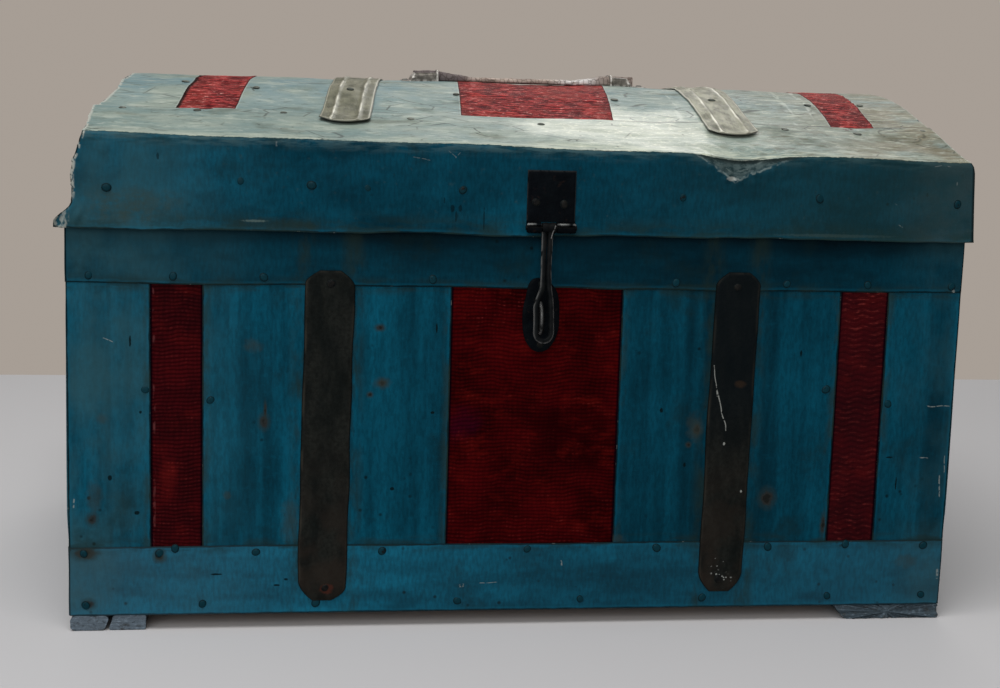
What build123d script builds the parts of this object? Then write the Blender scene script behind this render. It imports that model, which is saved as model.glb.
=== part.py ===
from build123d import *
import math
import os

os.makedirs("parts", exist_ok=True)

# Tin-clad wooden dowry chest with a barrel lid, in millimetres.
# X runs along the front, +Y towards the back, +Z up. The origin is on the floor, under the middle of
# the chest's overall box.

# Body: nailed boards under tin sheet
body_width = 600.0
body_depth = 390.0
body_height = 262.0          # underside of the bottom board to the rim
body_centre_y = 10.5         # the hasp reaches further out than the hinges, so the body sits back by this
wall_board = 12.0
bottom_board_thickness = 10.0
batten_side = 18.0
batten_below_rim = 4.0

# Runners: two lengths of scrap wood under the ends
runner_height = 10.5
left_runner_width = 48.0
right_runner_width = 77.0
right_runner_inset = 1.0
right_runner_bevel = 11.0
crack_width = 2.5
crack_lean = 7.0
crack_depth = 120.0
crack_from_left = 22.0

# Tin sheet
tin = 0.6
red_tin = 0.4                # the embossed red tin is thinner, so that it lies a little lower
top_band_height = 40.0
bottom_band_height = 47.0

# Red panels of the front: each side panel's two seams, from the nearer end, and the centre panel's
left_red_seams = (51.5, 84.7)
centre_red_seams = (-53.0, 62.0)
right_red_seams = (86.0, 52.5)

# Front straps: centre at the top, lean to the left at the bottom, width, and how far the top end is
# below the rim and the bottom end above the body's underside
strap_thickness = 1.2
strap_tip_width = 17.0
strap_clip = 9.0
front_straps = {
    "front_strap_left": (-133.0, 3.2, 32.4, 30.0, 8.7),
    "front_strap_right": (141.5, 3.3, 31.0, 27.5, 11.5),
}

# Lid
lid_gap = 0.5                # between the rim and the lid's wood
lid_overhang = 4.5           # the lid's front stands out this far from the body's front
lid_skirt_height = 53.5      # underside of the lid's wood to the front fold
lid_rise = 39.1              # fold to crown
slope_run = 106.0            # each straight slope, before the curved crown
lip_drop = 5.0               # the tin lip hangs this far below the lid's wood
left_lip_inset = 2.5         # the lid's left lip stops short of the body's end
left_lean = 0.20             # the left end leans inwards, in mm for each mm of height
right_lip_overhang = 3.5     # the right lip stands out past the body's end
right_lean = 0.0515
flare_overhang = 8.0         # the left end's tin is bent outwards at its foot, this far past the body
flare_height = 16.0
slat_thickness = 6.0
front_split_inset = 27.0     # joints between the three bent slats, from the ends of the curved crown
back_split_inset = 29.0
band_depth = 65.0            # how far the front and back sheets fold over the top

# Seams on the lid, where they meet the front band, and their drift to the right for each mm backwards
lid_left_seams = ((64.0, 0.10), (103.5, 0.10))
lid_centre_seams = ((-43.2, 0.08), (63.3, 0.12))
lid_right_seams = ((80.0, 0.085), (48.0, 0.09))

# Lid straps: left edge and right edge at the front end, drift
lid_strap_thickness = 1.2
lid_strap_inset = 34.0       # front end, behind the lid's front
lid_strap_bulge = 9.0
lid_straps = {
    "lid_strap_left": (-141.8, -108.0, 0.11),
    "lid_strap_right": (125.5, 160.5, 0.04),
}

# Back hinges
hinge_x = 180.0
hinge_width = 54.0
hinge_leaf_height = 34.0
leaf_thickness = 1.2
knuckle_radius = 3.0
knuckle_stand_off = 0.3
hinge_pin_radius = 1.5
pin_head_radius = 2.3
pin_head_thickness = 1.0
running_clearance = 0.05
knuckle_gap = 0.3

# Hasp: plate on the lid, wire loop on a pin, staple on the body
hasp_left = -5.7
hasp_right = 26.6
hasp_plate_top = 38.0        # above the lid's wood underside
hasp_plate_thickness = 1.2
hasp_pin_height = 0.5        # pin centre above the lid's wood underside
hasp_pin_stand_off = 4.1     # pin centre in front of the lid's front
hasp_pin_radius = 1.6
hasp_knuckle_radius = 3.4
hasp_gap_left = 3.9          # the gap between the knuckles, where the loop turns
hasp_gap_right = 14.2
hasp_notch_height = 4.6
loop_wire_radius = 2.0
loop_eye_radius = 3.6
loop_eye_left = 4.5
loop_eye_right = 13.4
loop_length = 74.3           # pin centre to the middle of the eye's lowest wire
loop_leg_bite = 1.0          # the legs start this far inside the barrel that turns on the pin
loop_left_leg_x = 6.1
loop_right_leg_x = 10.2
eye_left_height = 22.3       # from the eye's lowest wire to where each leg bows out
eye_right_height = 26.7
left_bow_run = 14.1
right_bow_run = 11.2
eye_flat = 0.1               # straight wire left between the eye's two bends
loop_eye_centre_x = 6.8
loop_eye_half_width = 4.85
loop_swing = 13.0            # the loop stands this many degrees out from hanging, clear of the staple
staple_x = 6.85
staple_wire_radius = 1.85
staple_below_rim = 49.5      # upper leg
staple_spread = 18.3         # between the legs
staple_flat = 4.0            # straight wire at the tip
staple_reach = 17.4          # out from the staple plate
staple_depth = 9.0           # into the front board
staple_plate_thickness = 1.2
staple_plate_half_width = 12.9
staple_plate_half_height = 26.0
staple_plate_below_rim = 57.2

# Handle: leather strap between two pressed caps
handle_left = -74.9
handle_right = 111.5
cap_width = 26.0
cap_flange = 1.0
cap_flange_reach = 5.3
cap_length = 27.4
cap_dome_width = 22.0
cap_dome_height = 7.8
cap_rim_length = 3.7
cap_rim_width = 24.0
cap_rim_height = 9.3
cap_wall = 1.0
cap_round = 2.5
strap_leather = 3.0
strap_width = 18.0
strap_floor_gap = 0.3
strap_hump = 2.3
strap_hump_run = 22.0
strap_right_hump_run = 42.0
strap_end_gap = 3.0

# Nails
nail_head_radius = 2.6
nail_head_height = 0.9
nail_shank_radius = 1.0
nail_length = 9.0
top_row_rise = 5.0           # above the top band's lower edge
band_row_drop = 4.5          # below the bottom band's upper edge
foot_row_rise = 7.0
middle_row_share = 0.57
seam_nail_outside = 4.0      # from the outer seam of each side red panel
seam_nail_inside = 6.0
skirt_row_rise = 23.5
lid_band_row_inset = 9.0     # from the free edge of the front and back sheets
lid_upper_row_inset = 8.0    # from the ends of the curved crown
plate_nail_inset = 6.0
hasp_nail_drop = 2.0         # below the middle of the hasp plate
hinge_nail_aside = 18.0
hinge_nail_rise = 24.0
staple_nail_rise = 20.0

# --- Places worked out from the sizes above --------------------------------------------------------
left = -body_width / 2
right = body_width / 2
front = body_centre_y - body_depth / 2
back = body_centre_y + body_depth / 2
base = runner_height
rim = base + body_height
skin = 2 * tin                       # a sheet and a band over it
wood_left = left + skin
wood_right = right - skin
wood_front = front + skin
wood_back = back - skin
wall_foot = base + bottom_board_thickness

lid_wood = rim + lid_gap
lip = lid_wood - lip_drop
lid_front = front - lid_overhang
lid_back = back
left_lip_x = left + left_lip_inset
right_lip_x = right + right_lip_overhang
flare_x = left - flare_overhang
staple_high = rim - staple_below_rim
staple_low = staple_high - staple_spread
staple_plate_z = rim - staple_plate_below_rim
lid_y = (lid_front + lid_back) / 2
lid_half = (lid_back - lid_front) / 2
fold = lid_wood + lid_skirt_height
crown = fold + lid_rise
arc_half = lid_half - slope_run
hinge_y = back + knuckle_stand_off + knuckle_radius
hinge_z = rim + lid_gap / 2
hasp_pin_y = lid_front - hasp_pin_stand_off
hasp_pin_z = lid_wood + hasp_pin_height
reach = 2 * body_width               # longer than anything that it cuts or is cut from


def slope_angle(rise, run, arc):
    """Angle of the straight slopes that an arc, level at the crown, joins smoothly."""
    tangent = 0.0
    for _ in range(30):
        tangent = rise / (2 * run / (1 - tangent**2) + arc)
    return 2 * math.atan(tangent)


slope = slope_angle(lid_rise, slope_run, arc_half)
crown_radius = arc_half / math.sin(slope)


def block(x, y, z, mode=Mode.ADD):
    """A box between pairs of X, Y and Z values."""
    with Locations(((x[0] + x[1]) / 2, (y[0] + y[1]) / 2, (z[0] + z[1]) / 2)):
        Box(x[1] - x[0], y[1] - y[0], z[1] - z[0], mode=mode)


def rod(x, y, z, radius, mode=Mode.ADD):
    """A cylinder along X between a pair of X values."""
    with Locations(((x[0] + x[1]) / 2, y, z)):
        Cylinder(radius, x[1] - x[0], rotation=(0, 90, 0), mode=mode)


def keep(part, name):
    part.label = name
    export_step(part, f"parts/{name}.step")


# --- Body carcass -----------------------------------------------------------------------------------
wall_z = (wall_foot, rim)


def staple_holes():
    """The two holes that the staple's legs pass through."""
    middle = front + staple_depth / 2
    for z in (staple_low, staple_high):
        with Locations((staple_x, middle, z)):
            Cylinder(staple_wire_radius + running_clearance, 2 * staple_reach + staple_depth,
                     rotation=(90, 0, 0), mode=Mode.SUBTRACT)


with BuildPart() as front_board:
    block((wood_left, wood_right), (wood_front, wood_front + wall_board), wall_z)
    staple_holes()
keep(front_board.part, "front_board")

with BuildPart() as back_board:
    block((wood_left, wood_right), (wood_back - wall_board, wood_back), wall_z)
keep(back_board.part, "back_board")

end_wall_y = (wood_front + wall_board, wood_back - wall_board)
end_walls = {
    "left_end_board": (wood_left, wood_left + wall_board),
    "right_end_board": (wood_right - wall_board, wood_right),
}
for name, x in end_walls.items():
    with BuildPart() as end_board:
        block(x, end_wall_y, wall_z)
    keep(end_board.part, name)

with BuildPart() as bottom_board:
    block((wood_left, wood_right), (wood_front, wood_back), (base, wall_foot))
keep(bottom_board.part, "bottom_board")

inner_x = (wood_left + wall_board, wood_right - wall_board)
corner_x = {"left": (inner_x[0], inner_x[0] + batten_side), "right": (inner_x[1] - batten_side, inner_x[1])}
corner_y = {
    "front": (end_wall_y[0], end_wall_y[0] + batten_side),
    "back": (end_wall_y[1] - batten_side, end_wall_y[1]),
}
for y_name, y in corner_y.items():
    for x_name, x in corner_x.items():
        with BuildPart() as corner_batten:
            block(x, y, (wall_foot, rim - batten_below_rim))
        keep(corner_batten.part, f"corner_batten_{y_name}_{x_name}")

# The left runner is split by a slanting crack at its front end.
with BuildPart() as left_runner:
    block((left, left + left_runner_width), (front, back), (0, base))
    crack_x = left + crack_from_left
    with BuildSketch(Plane.XZ.offset(-front)):
        with BuildLine():
            Polyline((crack_x, base), (crack_x + crack_width, base),
                     (crack_x + crack_width + crack_lean, 0), (crack_x + crack_lean, 0), close=True)
        make_face()
    extrude(amount=-crack_depth, mode=Mode.SUBTRACT)
keep(left_runner.part, "left_runner")

# The right runner's inner side is bevelled, as the offcut came.
runner_right = right - right_runner_inset
with BuildPart() as right_runner:
    with BuildSketch(Plane.XZ.offset(-front)):
        with BuildLine():
            Polyline((runner_right - right_runner_width, base), (runner_right, base), (runner_right, 0),
                     (runner_right - right_runner_width + right_runner_bevel, 0), close=True)
        make_face()
    extrude(amount=-body_depth)
keep(right_runner.part, "right_runner")

# --- Tin on the body --------------------------------------------------------------------------------
sheet_y = (wood_front - tin, wood_front)
sheet_z = (base, rim)
front_seams = ([left + x for x in left_red_seams] + list(centre_red_seams)
               + [right - x for x in right_red_seams])
front_edges = [left + tin] + front_seams + [right - tin]
front_sheets = ["front_sheet_far_left", "front_red_left", "front_sheet_left", "front_red_centre",
                "front_sheet_right", "front_red_right", "front_sheet_far_right"]
for name, x0, x1 in zip(front_sheets, front_edges, front_edges[1:]):
    thickness = red_tin if "red" in name else tin
    with BuildPart() as front_sheet:
        block((x0, x1), (wood_front - thickness, wood_front), sheet_z)
        if x0 < staple_x < x1:
            staple_holes()
    keep(front_sheet.part, name)

end_sheet_x = {"left_end_sheet": (left + tin, wood_left), "right_end_sheet": (wood_right, right - tin)}
for name, x in end_sheet_x.items():
    with BuildPart() as end_sheet:
        block(x, (wood_front, wood_back), sheet_z)
    keep(end_sheet.part, name)

with BuildPart() as back_sheet:
    block((left + tin, right - tin), (wood_back, wood_back + tin), sheet_z)
keep(back_sheet.part, "back_sheet")

# Each band runs round all four sides, folded at the corners.
bands = {"top_band": (rim - top_band_height, rim), "bottom_band": (base, base + bottom_band_height)}
for name, z in bands.items():
    with BuildPart() as band:
        block((left, right), (front, back), z)
        block((left + tin, right - tin), (front + tin, back - tin), z, mode=Mode.SUBTRACT)
    keep(band.part, name)


def clipped_strap(centre, lean, width, top_drop, bottom_rise):
    """Outline of a front strap: a leaning strip with its four corners clipped."""
    top = rim - top_drop
    bottom = base + bottom_rise
    half = width / 2
    tip = strap_tip_width / 2
    foot = centre - lean
    return [(foot - half, bottom + strap_clip), (centre - half, top - strap_clip), (centre - tip, top),
            (centre + tip, top), (centre + half, top - strap_clip), (foot + half, bottom + strap_clip),
            (foot + tip, bottom), (foot - tip, bottom)]


for name, sizes in front_straps.items():
    with BuildPart() as front_strap:
        with BuildSketch(Plane.XZ.offset(-front)):
            with BuildLine():
                Polyline(*clipped_strap(*sizes), close=True)
            make_face()
        extrude(amount=strap_thickness)
    keep(front_strap.part, name)

# --- Staple -----------------------------------------------------------------------------------------
with BuildPart() as staple_plate:
    with BuildSketch(Plane.XZ.offset(-front)):
        with Locations((staple_x, staple_plate_z)):
            Ellipse(staple_plate_half_width, staple_plate_half_height)
    extrude(amount=staple_plate_thickness)
    staple_holes()
keep(staple_plate.part, "staple_plate")

staple_out = front - staple_plate_thickness - staple_reach + staple_wire_radius
staple_in = front + skin + staple_depth
staple_bend = (staple_spread - staple_flat) / 2
with BuildPart() as staple:
    with BuildLine() as staple_line:
        FilletPolyline((staple_x, staple_in, staple_low), (staple_x, staple_out, staple_low),
                       (staple_x, staple_out, staple_high), (staple_x, staple_in, staple_high),
                       radius=staple_bend)
    with BuildSketch(Plane(origin=staple_line.line @ 0, z_dir=staple_line.line % 0)):
        Circle(staple_wire_radius)
    sweep()
keep(staple.part, "staple")

# --- Back hinges ------------------------------------------------------------------------------------
knuckle_third = hinge_width / 3


def hinge_leaf(centre, upward):
    """A leaf with its knuckles: the lid's leaf goes up and has the middle knuckle."""
    ends = (centre - hinge_width / 2, centre + hinge_width / 2)
    middle = (centre - knuckle_third / 2, centre + knuckle_third / 2)
    low, high = (hinge_z, hinge_z + hinge_leaf_height) if upward else (hinge_z - hinge_leaf_height, hinge_z)
    plate_y = (back, back + leaf_thickness)
    clear = knuckle_radius + knuckle_stand_off
    block(ends, plate_y, (low, high))
    if upward:
        free = [(ends[0], middle[0] + knuckle_gap), (middle[1] - knuckle_gap, ends[1])]
        own = [(middle[0] + knuckle_gap, middle[1] - knuckle_gap)]
        cut = (low, low + clear)
    else:
        free = [middle]
        own = [(ends[0], middle[0]), (middle[1], ends[1])]
        cut = (high - clear, high)
    for x in free:
        block(x, plate_y, cut, mode=Mode.SUBTRACT)
    for x in own:
        rod(x, hinge_y, hinge_z, knuckle_radius)
    rod(ends, hinge_y, hinge_z, hinge_pin_radius + running_clearance, mode=Mode.SUBTRACT)


for side, centre in (("left", -hinge_x), ("right", hinge_x)):
    for leaf_name, upward in (("body", False), ("lid", True)):
        with BuildPart() as leaf:
            hinge_leaf(centre, upward)
        keep(leaf.part, f"hinge_{leaf_name}_leaf_{side}")

with BuildPart() as hinge_pins:
    for centre in (-hinge_x, hinge_x):
        ends = (centre - hinge_width / 2, centre + hinge_width / 2)
        rod(ends, hinge_y, hinge_z, hinge_pin_radius)
        rod((ends[0] - pin_head_thickness, ends[0]), hinge_y, hinge_z, pin_head_radius)
        rod((ends[1], ends[1] + pin_head_thickness), hinge_y, hinge_z, pin_head_radius)
keep(hinge_pins.part, "hinge_pins")


# --- Lid: the barrel's section and its ends ---------------------------------------------------------
def arch_points(inset):
    """Front eave, front tangent, crown, back tangent and back eave, this far inside the outer tin."""
    eave_z = fold + inset * (math.tan(slope) - 1 / math.cos(slope))
    radius = crown_radius - inset
    centre_z = crown - crown_radius
    tangent_y = radius * math.sin(slope)
    tangent_z = centre_z + radius * math.cos(slope)
    return [(lid_front + inset, eave_z), (lid_y - tangent_y, tangent_z), (lid_y, centre_z + radius),
            (lid_y + tangent_y, tangent_z), (lid_back - inset, eave_z)]


def surface(y, inset=0.0):
    """Height of the lid's top, and the angle at which it rises towards the crown, at a place in depth."""
    aside = abs(y - lid_y)
    if aside < crown_radius * math.sin(slope):
        height = crown - crown_radius + math.sqrt((crown_radius - inset) ** 2 - aside**2)
        angle = math.asin(aside / (crown_radius - inset))
    else:
        height = fold + (lid_half - aside) * math.tan(slope) - inset / math.cos(slope)
        angle = slope
    return height, math.copysign(angle, lid_y - y)


def arch_shell(outer, inner):
    """A sheet bent over the whole lid, between two insets, longer than the lid."""
    top = arch_points(outer)
    under = arch_points(inner)
    with BuildSketch(Plane.YZ) as section:
        with BuildLine():
            Line(top[0], top[1])
            ThreePointArc(top[1], top[2], top[3])
            Line(top[3], top[4])
            Line(top[4], under[4])
            Line(under[4], under[3])
            ThreePointArc(under[3], under[2], under[1])
            Line(under[1], under[0])
            Line(under[0], top[0])
        make_face()
    extrude(section.sketch, amount=reach, both=True)


def under_arch(inset, y, foot):
    """Everything under the lid's top at an inset, between two places in depth, down to a level."""
    top = arch_points(inset)
    with BuildSketch(Plane.YZ) as section:
        with BuildLine():
            Line(top[0], top[1])
            ThreePointArc(top[1], top[2], top[3])
            Line(top[3], top[4])
            Polyline(top[4], (top[4][0], foot), (top[0][0], foot), top[0])
        make_face()
    extrude(section.sketch, amount=reach, both=True)
    block((-reach, reach), y, (foot, crown), mode=Mode.INTERSECT)


def left_end(z):
    return left_lip_x + left_lean * (z - lip)


def right_end(z):
    return right_lip_x - right_lean * (z - lip)


def cut_ends(inset, left_width=None, right_width=None):
    """Keep what lies between the lid's two leaning ends, or only a slice along one of them."""
    low = lip - lip_drop
    high = crown + lip_drop
    x = {"a": left_end(low) + inset, "b": right_end(low) - inset,
         "c": right_end(high) - inset, "d": left_end(high) + inset}
    if left_width:
        x["b"] = x["a"] + left_width
        x["c"] = x["d"] + left_width
    if right_width:
        x["a"] = x["b"] - right_width
        x["d"] = x["c"] - right_width
    with BuildSketch(Plane.XZ) as outline:
        with BuildLine():
            Polyline((x["a"], low), (x["b"], low), (x["c"], high), (x["d"], high), close=True)
        make_face()
    extrude(outline.sketch, amount=reach, both=True, mode=Mode.INTERSECT)


# --- Lid: boards and slats --------------------------------------------------------------------------
slat_under = skin + slat_thickness
lid_board_y = {
    "lid_front_board": (lid_front + tin, lid_front + tin + wall_board),
    "lid_back_board": (lid_back - tin - wall_board, lid_back - tin),
}
for name, y in lid_board_y.items():
    with BuildPart() as lid_board:
        under_arch(slat_under, (lid_front, lid_back), lid_wood)
        board_top = arch_points(slat_under)
        block((-reach, reach), (lid_front + tin, board_top[0][0]), (lid_wood, board_top[0][1]))
        block((-reach, reach), (board_top[4][0], lid_back - tin), (lid_wood, board_top[4][1]))
        block((-reach, reach), y, (lid_wood, crown), mode=Mode.INTERSECT)
        cut_ends(tin)
    keep(lid_board.part, name)

lid_end_y = (lid_front + tin + wall_board, lid_back - tin - wall_board)
lid_end_slices = {"lid_left_board": (wall_board, None), "lid_right_board": (None, wall_board)}
for name, (left_slice, right_slice) in lid_end_slices.items():
    with BuildPart() as lid_end_board:
        under_arch(slat_under, lid_end_y, lid_wood)
        cut_ends(tin, left_slice, right_slice)
    keep(lid_end_board.part, name)

slat_edges = [lid_front, lid_y - arc_half + front_split_inset, lid_y + arc_half - back_split_inset, lid_back]
for name, y0, y1 in zip(["lid_slat_front", "lid_slat_crown", "lid_slat_back"], slat_edges, slat_edges[1:]):
    with BuildPart() as slat:
        arch_shell(skin, slat_under)
        block((-reach, reach), (y0, y1), (lip, crown), mode=Mode.INTERSECT)
        cut_ends(tin)
    keep(slat.part, name)

# --- Lid: tin ---------------------------------------------------------------------------------------
fold_inside = arch_points(tin)[0][1]


def folded_sheet(eave, inward, foot):
    """A sheet up the front or back of the lid, folded over the eave on to the top."""
    arch_shell(0, tin)
    near = eave + inward * band_depth
    block((-reach, reach), (min(eave, near), max(eave, near)), (lip, crown), mode=Mode.INTERSECT)
    with BuildSketch(Plane.YZ) as upright:
        with BuildLine():
            Polyline((eave, foot), (eave, fold), (eave + inward * tin, fold_inside),
                     (eave + inward * tin, foot), close=True)
        make_face()
    extrude(upright.sketch, amount=reach, both=True)
    cut_ends(0)


with BuildPart() as lid_front_sheet:
    folded_sheet(lid_front, 1, lip)
keep(lid_front_sheet.part, "lid_front_sheet")

with BuildPart() as lid_back_sheet:
    folded_sheet(lid_back, -1, lid_wood)
keep(lid_back_sheet.part, "lid_back_sheet")

seam_y = lid_front + band_depth


def seam_x(seam, y):
    place, drift = seam
    return place + drift * (y - seam_y)


def between_seams(seam_left, seam_right):
    """Keep the strip of the lid between two drifting seams."""
    with BuildSketch(Plane.XY.offset(lip)) as strip:
        with BuildLine():
            Polyline((seam_x(seam_left, lid_front), lid_front), (seam_x(seam_right, lid_front), lid_front),
                     (seam_x(seam_right, lid_back), lid_back), (seam_x(seam_left, lid_back), lid_back),
                     close=True)
        make_face()
    extrude(strip.sketch, amount=crown - lip, mode=Mode.INTERSECT)


lid_edges = ([(-reach, 0.0)] + [(left + x, drift) for x, drift in lid_left_seams] + list(lid_centre_seams)
             + [(right - x, drift) for x, drift in lid_right_seams] + [(reach, 0.0)])
lid_sheets = ["lid_sheet_far_left", "lid_red_left", "lid_sheet_left", "lid_red_centre",
              "lid_sheet_right", "lid_red_right", "lid_sheet_far_right"]
for name, seam_left, seam_right in zip(lid_sheets, lid_edges, lid_edges[1:]):
    thickness = red_tin if "red" in name else tin
    with BuildPart() as lid_sheet:
        arch_shell(skin - thickness, skin)
        between_seams(seam_left, seam_right)
        cut_ends(0)
    keep(lid_sheet.part, name)

# The left end's sheet follows the leaning end, and its lip is bent outwards over the body's corner.
lid_sheet_y = (lid_front + tin, lid_back - tin)
bend = lip + flare_height
with BuildPart() as lid_left_sheet:
    under_arch(skin, lid_sheet_y, lip)
    with BuildSketch(Plane.XZ):
        with BuildLine():
            Polyline((flare_x, lip), (left_end(bend), bend), (left_end(crown), crown),
                     (left_end(crown) + tin, crown), (left_end(bend) + tin, bend),
                     (flare_x + tin, lip), close=True)
        make_face()
    extrude(amount=reach, both=True, mode=Mode.INTERSECT)
keep(lid_left_sheet.part, "lid_left_sheet")

with BuildPart() as lid_right_sheet:
    under_arch(skin, lid_sheet_y, lip)
    cut_ends(0, None, tin)
keep(lid_right_sheet.part, "lid_right_sheet")

# Straps over the barrel, with rounded ends, nailed over the bands
strap_front = lid_front + lid_strap_inset
strap_back = lid_back - lid_strap_inset
for name, (x0, x1, drift) in lid_straps.items():
    aside = drift * (strap_back - strap_front)
    shoulder_front = strap_front + lid_strap_bulge
    shoulder_back = strap_back - lid_strap_bulge
    middle = (x0 + x1) / 2
    with BuildPart() as lid_strap:
        arch_shell(-lid_strap_thickness, 0)
        with BuildSketch(Plane.XY.offset(lip)):
            with BuildLine():
                ThreePointArc((x0, shoulder_front), (middle, strap_front), (x1, shoulder_front))
                Line((x1, shoulder_front), (x1 + aside, shoulder_back))
                ThreePointArc((x1 + aside, shoulder_back), (middle + aside, strap_back),
                              (x0 + aside, shoulder_back))
                Line((x0 + aside, shoulder_back), (x0, shoulder_front))
            make_face()
        extrude(amount=reach, mode=Mode.INTERSECT)
    keep(lid_strap.part, name)

# --- Hasp -------------------------------------------------------------------------------------------
with BuildPart() as hasp_plate:
    block((hasp_left, hasp_right), (lid_front - hasp_plate_thickness, lid_front),
          (hasp_pin_z, lid_wood + hasp_plate_top))
    block((hasp_gap_left, hasp_gap_right), (lid_front - hasp_plate_thickness, lid_front),
          (hasp_pin_z, hasp_pin_z + hasp_notch_height), mode=Mode.SUBTRACT)
    for x in ((hasp_left, hasp_gap_left), (hasp_gap_right, hasp_right)):
        rod(x, hasp_pin_y, hasp_pin_z, hasp_knuckle_radius)
    rod((hasp_left, hasp_right), hasp_pin_y, hasp_pin_z, hasp_pin_radius + running_clearance,
        mode=Mode.SUBTRACT)
keep(hasp_plate.part, "hasp_plate")

with BuildPart() as hasp_pin:
    rod((hasp_left, hasp_right), hasp_pin_y, hasp_pin_z, hasp_pin_radius)
keep(hasp_pin.part, "hasp_pin")

# One wire, bent double: two legs side by side that open into an eye, and turn round the pin at the top.
swing = math.radians(loop_swing)
loop_plane = Plane(origin=(0, hasp_pin_y, hasp_pin_z), x_dir=(1, 0, 0),
                   z_dir=(0, -math.cos(swing), math.sin(swing)))
eye_left = loop_eye_centre_x - loop_eye_half_width
eye_right = loop_eye_centre_x + loop_eye_half_width
leg_top = loop_leg_bite - loop_eye_radius
left_bow = eye_left_height - loop_length
right_bow = eye_right_height - loop_length
loop_points = [(loop_left_leg_x, leg_top), (loop_left_leg_x, left_bow + left_bow_run), (eye_left, left_bow),
               (eye_left, -loop_length), (eye_right, -loop_length), (eye_right, right_bow),
               (loop_right_leg_x, right_bow + right_bow_run), (loop_right_leg_x, leg_top)]
eye_bend = loop_eye_half_width - eye_flat / 2
leg_bend = 2 * eye_bend
with BuildPart() as hasp_loop:
    with BuildLine(loop_plane) as loop_line:
        FilletPolyline(*loop_points, radius=[leg_bend, leg_bend, eye_bend, eye_bend, leg_bend, leg_bend])
    with BuildSketch(Plane(origin=loop_line.line @ 0, z_dir=loop_line.line % 0)):
        Circle(loop_wire_radius)
    sweep()
    rod((loop_eye_left, loop_eye_right), hasp_pin_y, hasp_pin_z, loop_eye_radius)
    rod((hasp_left, hasp_right), hasp_pin_y, hasp_pin_z, hasp_pin_radius + running_clearance,
        mode=Mode.SUBTRACT)
keep(hasp_loop.part, "hasp_loop")

# --- Handle -----------------------------------------------------------------------------------------
saddle = crown - tin                 # level of the blue sheets at the crown


def handle_cap(outer, inward):
    """A pressed cap: flange, dome and raised rim, open towards the strap."""
    def span(start, end):
        return (min(outer + inward * start, outer + inward * end),
                max(outer + inward * start, outer + inward * end))

    def across(width):
        return (lid_y - width / 2, lid_y + width / 2)

    dome = (cap_flange_reach, cap_length - cap_rim_length)
    block(span(*dome), across(cap_dome_width), (saddle, saddle + cap_dome_height))
    fillet(edges().group_by(Axis.Z)[-1], radius=cap_round)
    block(span(0, cap_length), across(cap_width), (saddle, saddle + cap_flange))
    block(span(dome[1], cap_length), across(cap_rim_width), (saddle, saddle + cap_rim_height))
    block(span(cap_flange_reach + cap_wall, cap_length), across(cap_dome_width - 2 * cap_wall),
          (saddle + cap_flange, saddle + cap_dome_height - cap_wall), mode=Mode.SUBTRACT)


for name, outer, inward in (("handle_cap_left", handle_left, 1), ("handle_cap_right", handle_right, -1)):
    with BuildPart() as cap:
        handle_cap(outer, inward)
    keep(cap.part, name)

# The strap lies flat on the crown and rises at each end to go into its cap.
strap_left = handle_left + cap_flange_reach + cap_wall + strap_end_gap
strap_right = handle_right - cap_flange_reach - cap_wall - strap_end_gap
mouth_left = handle_left + cap_length
mouth_right = handle_right - cap_length
flat = saddle + strap_floor_gap
raised = flat + strap_hump
strap_profile = [(strap_left, raised), (mouth_left, raised), (mouth_left + strap_hump_run, flat),
                 (mouth_right - strap_right_hump_run, flat), (mouth_right, raised), (strap_right, raised)]
with BuildPart() as handle_strap:
    with BuildSketch(Plane.XZ.offset(-lid_y)):
        with BuildLine():
            Polyline(*strap_profile, *[(x, z + strap_leather) for x, z in reversed(strap_profile)],
                     close=True)
        make_face()
    extrude(amount=strap_width / 2, both=True)
keep(handle_strap.part, "handle_strap")


# --- Nails ------------------------------------------------------------------------------------------
def nail(place, outward, length=nail_length):
    """A flat round head on the surface, with its shank driven in."""
    with Locations(Plane(origin=place, z_dir=outward)):
        Cylinder(nail_head_radius, nail_head_height, align=(Align.CENTER, Align.CENTER, Align.MIN))
        Cylinder(nail_shank_radius, length, align=(Align.CENTER, Align.CENTER, Align.MAX))


def along_front(from_left, about_middle, from_right):
    """Places along the front: some from its left end, some from its middle, some from its right end."""
    return [left + x for x in from_left] + about_middle + [right - x for x in from_right]


top_row = rim - top_band_height + top_row_rise
middle_row = base + middle_row_share * body_height
band_row = base + bottom_band_height - band_row_drop
foot_row = base + foot_row_rise
top_row_x = along_front([13, 66, 124], [-66, 98], [125, 68, 8])
band_row_x = along_front([8, 57, 120], [-96, 3, 93], [128, 72, 15])
foot_row_x = along_front([9, 85], [-148, -44, 41, 127], [83, 14])
middle_row_x = [front_seams[0] - seam_nail_outside, front_seams[1] + seam_nail_inside,
                front_seams[4] - seam_nail_inside, front_seams[5] + seam_nail_outside]
side_row_shares = [-0.44, -0.15, 0.15, 0.44]
back_row_shares = [-0.47, -0.18, 0.0, 0.18, 0.47]

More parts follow.
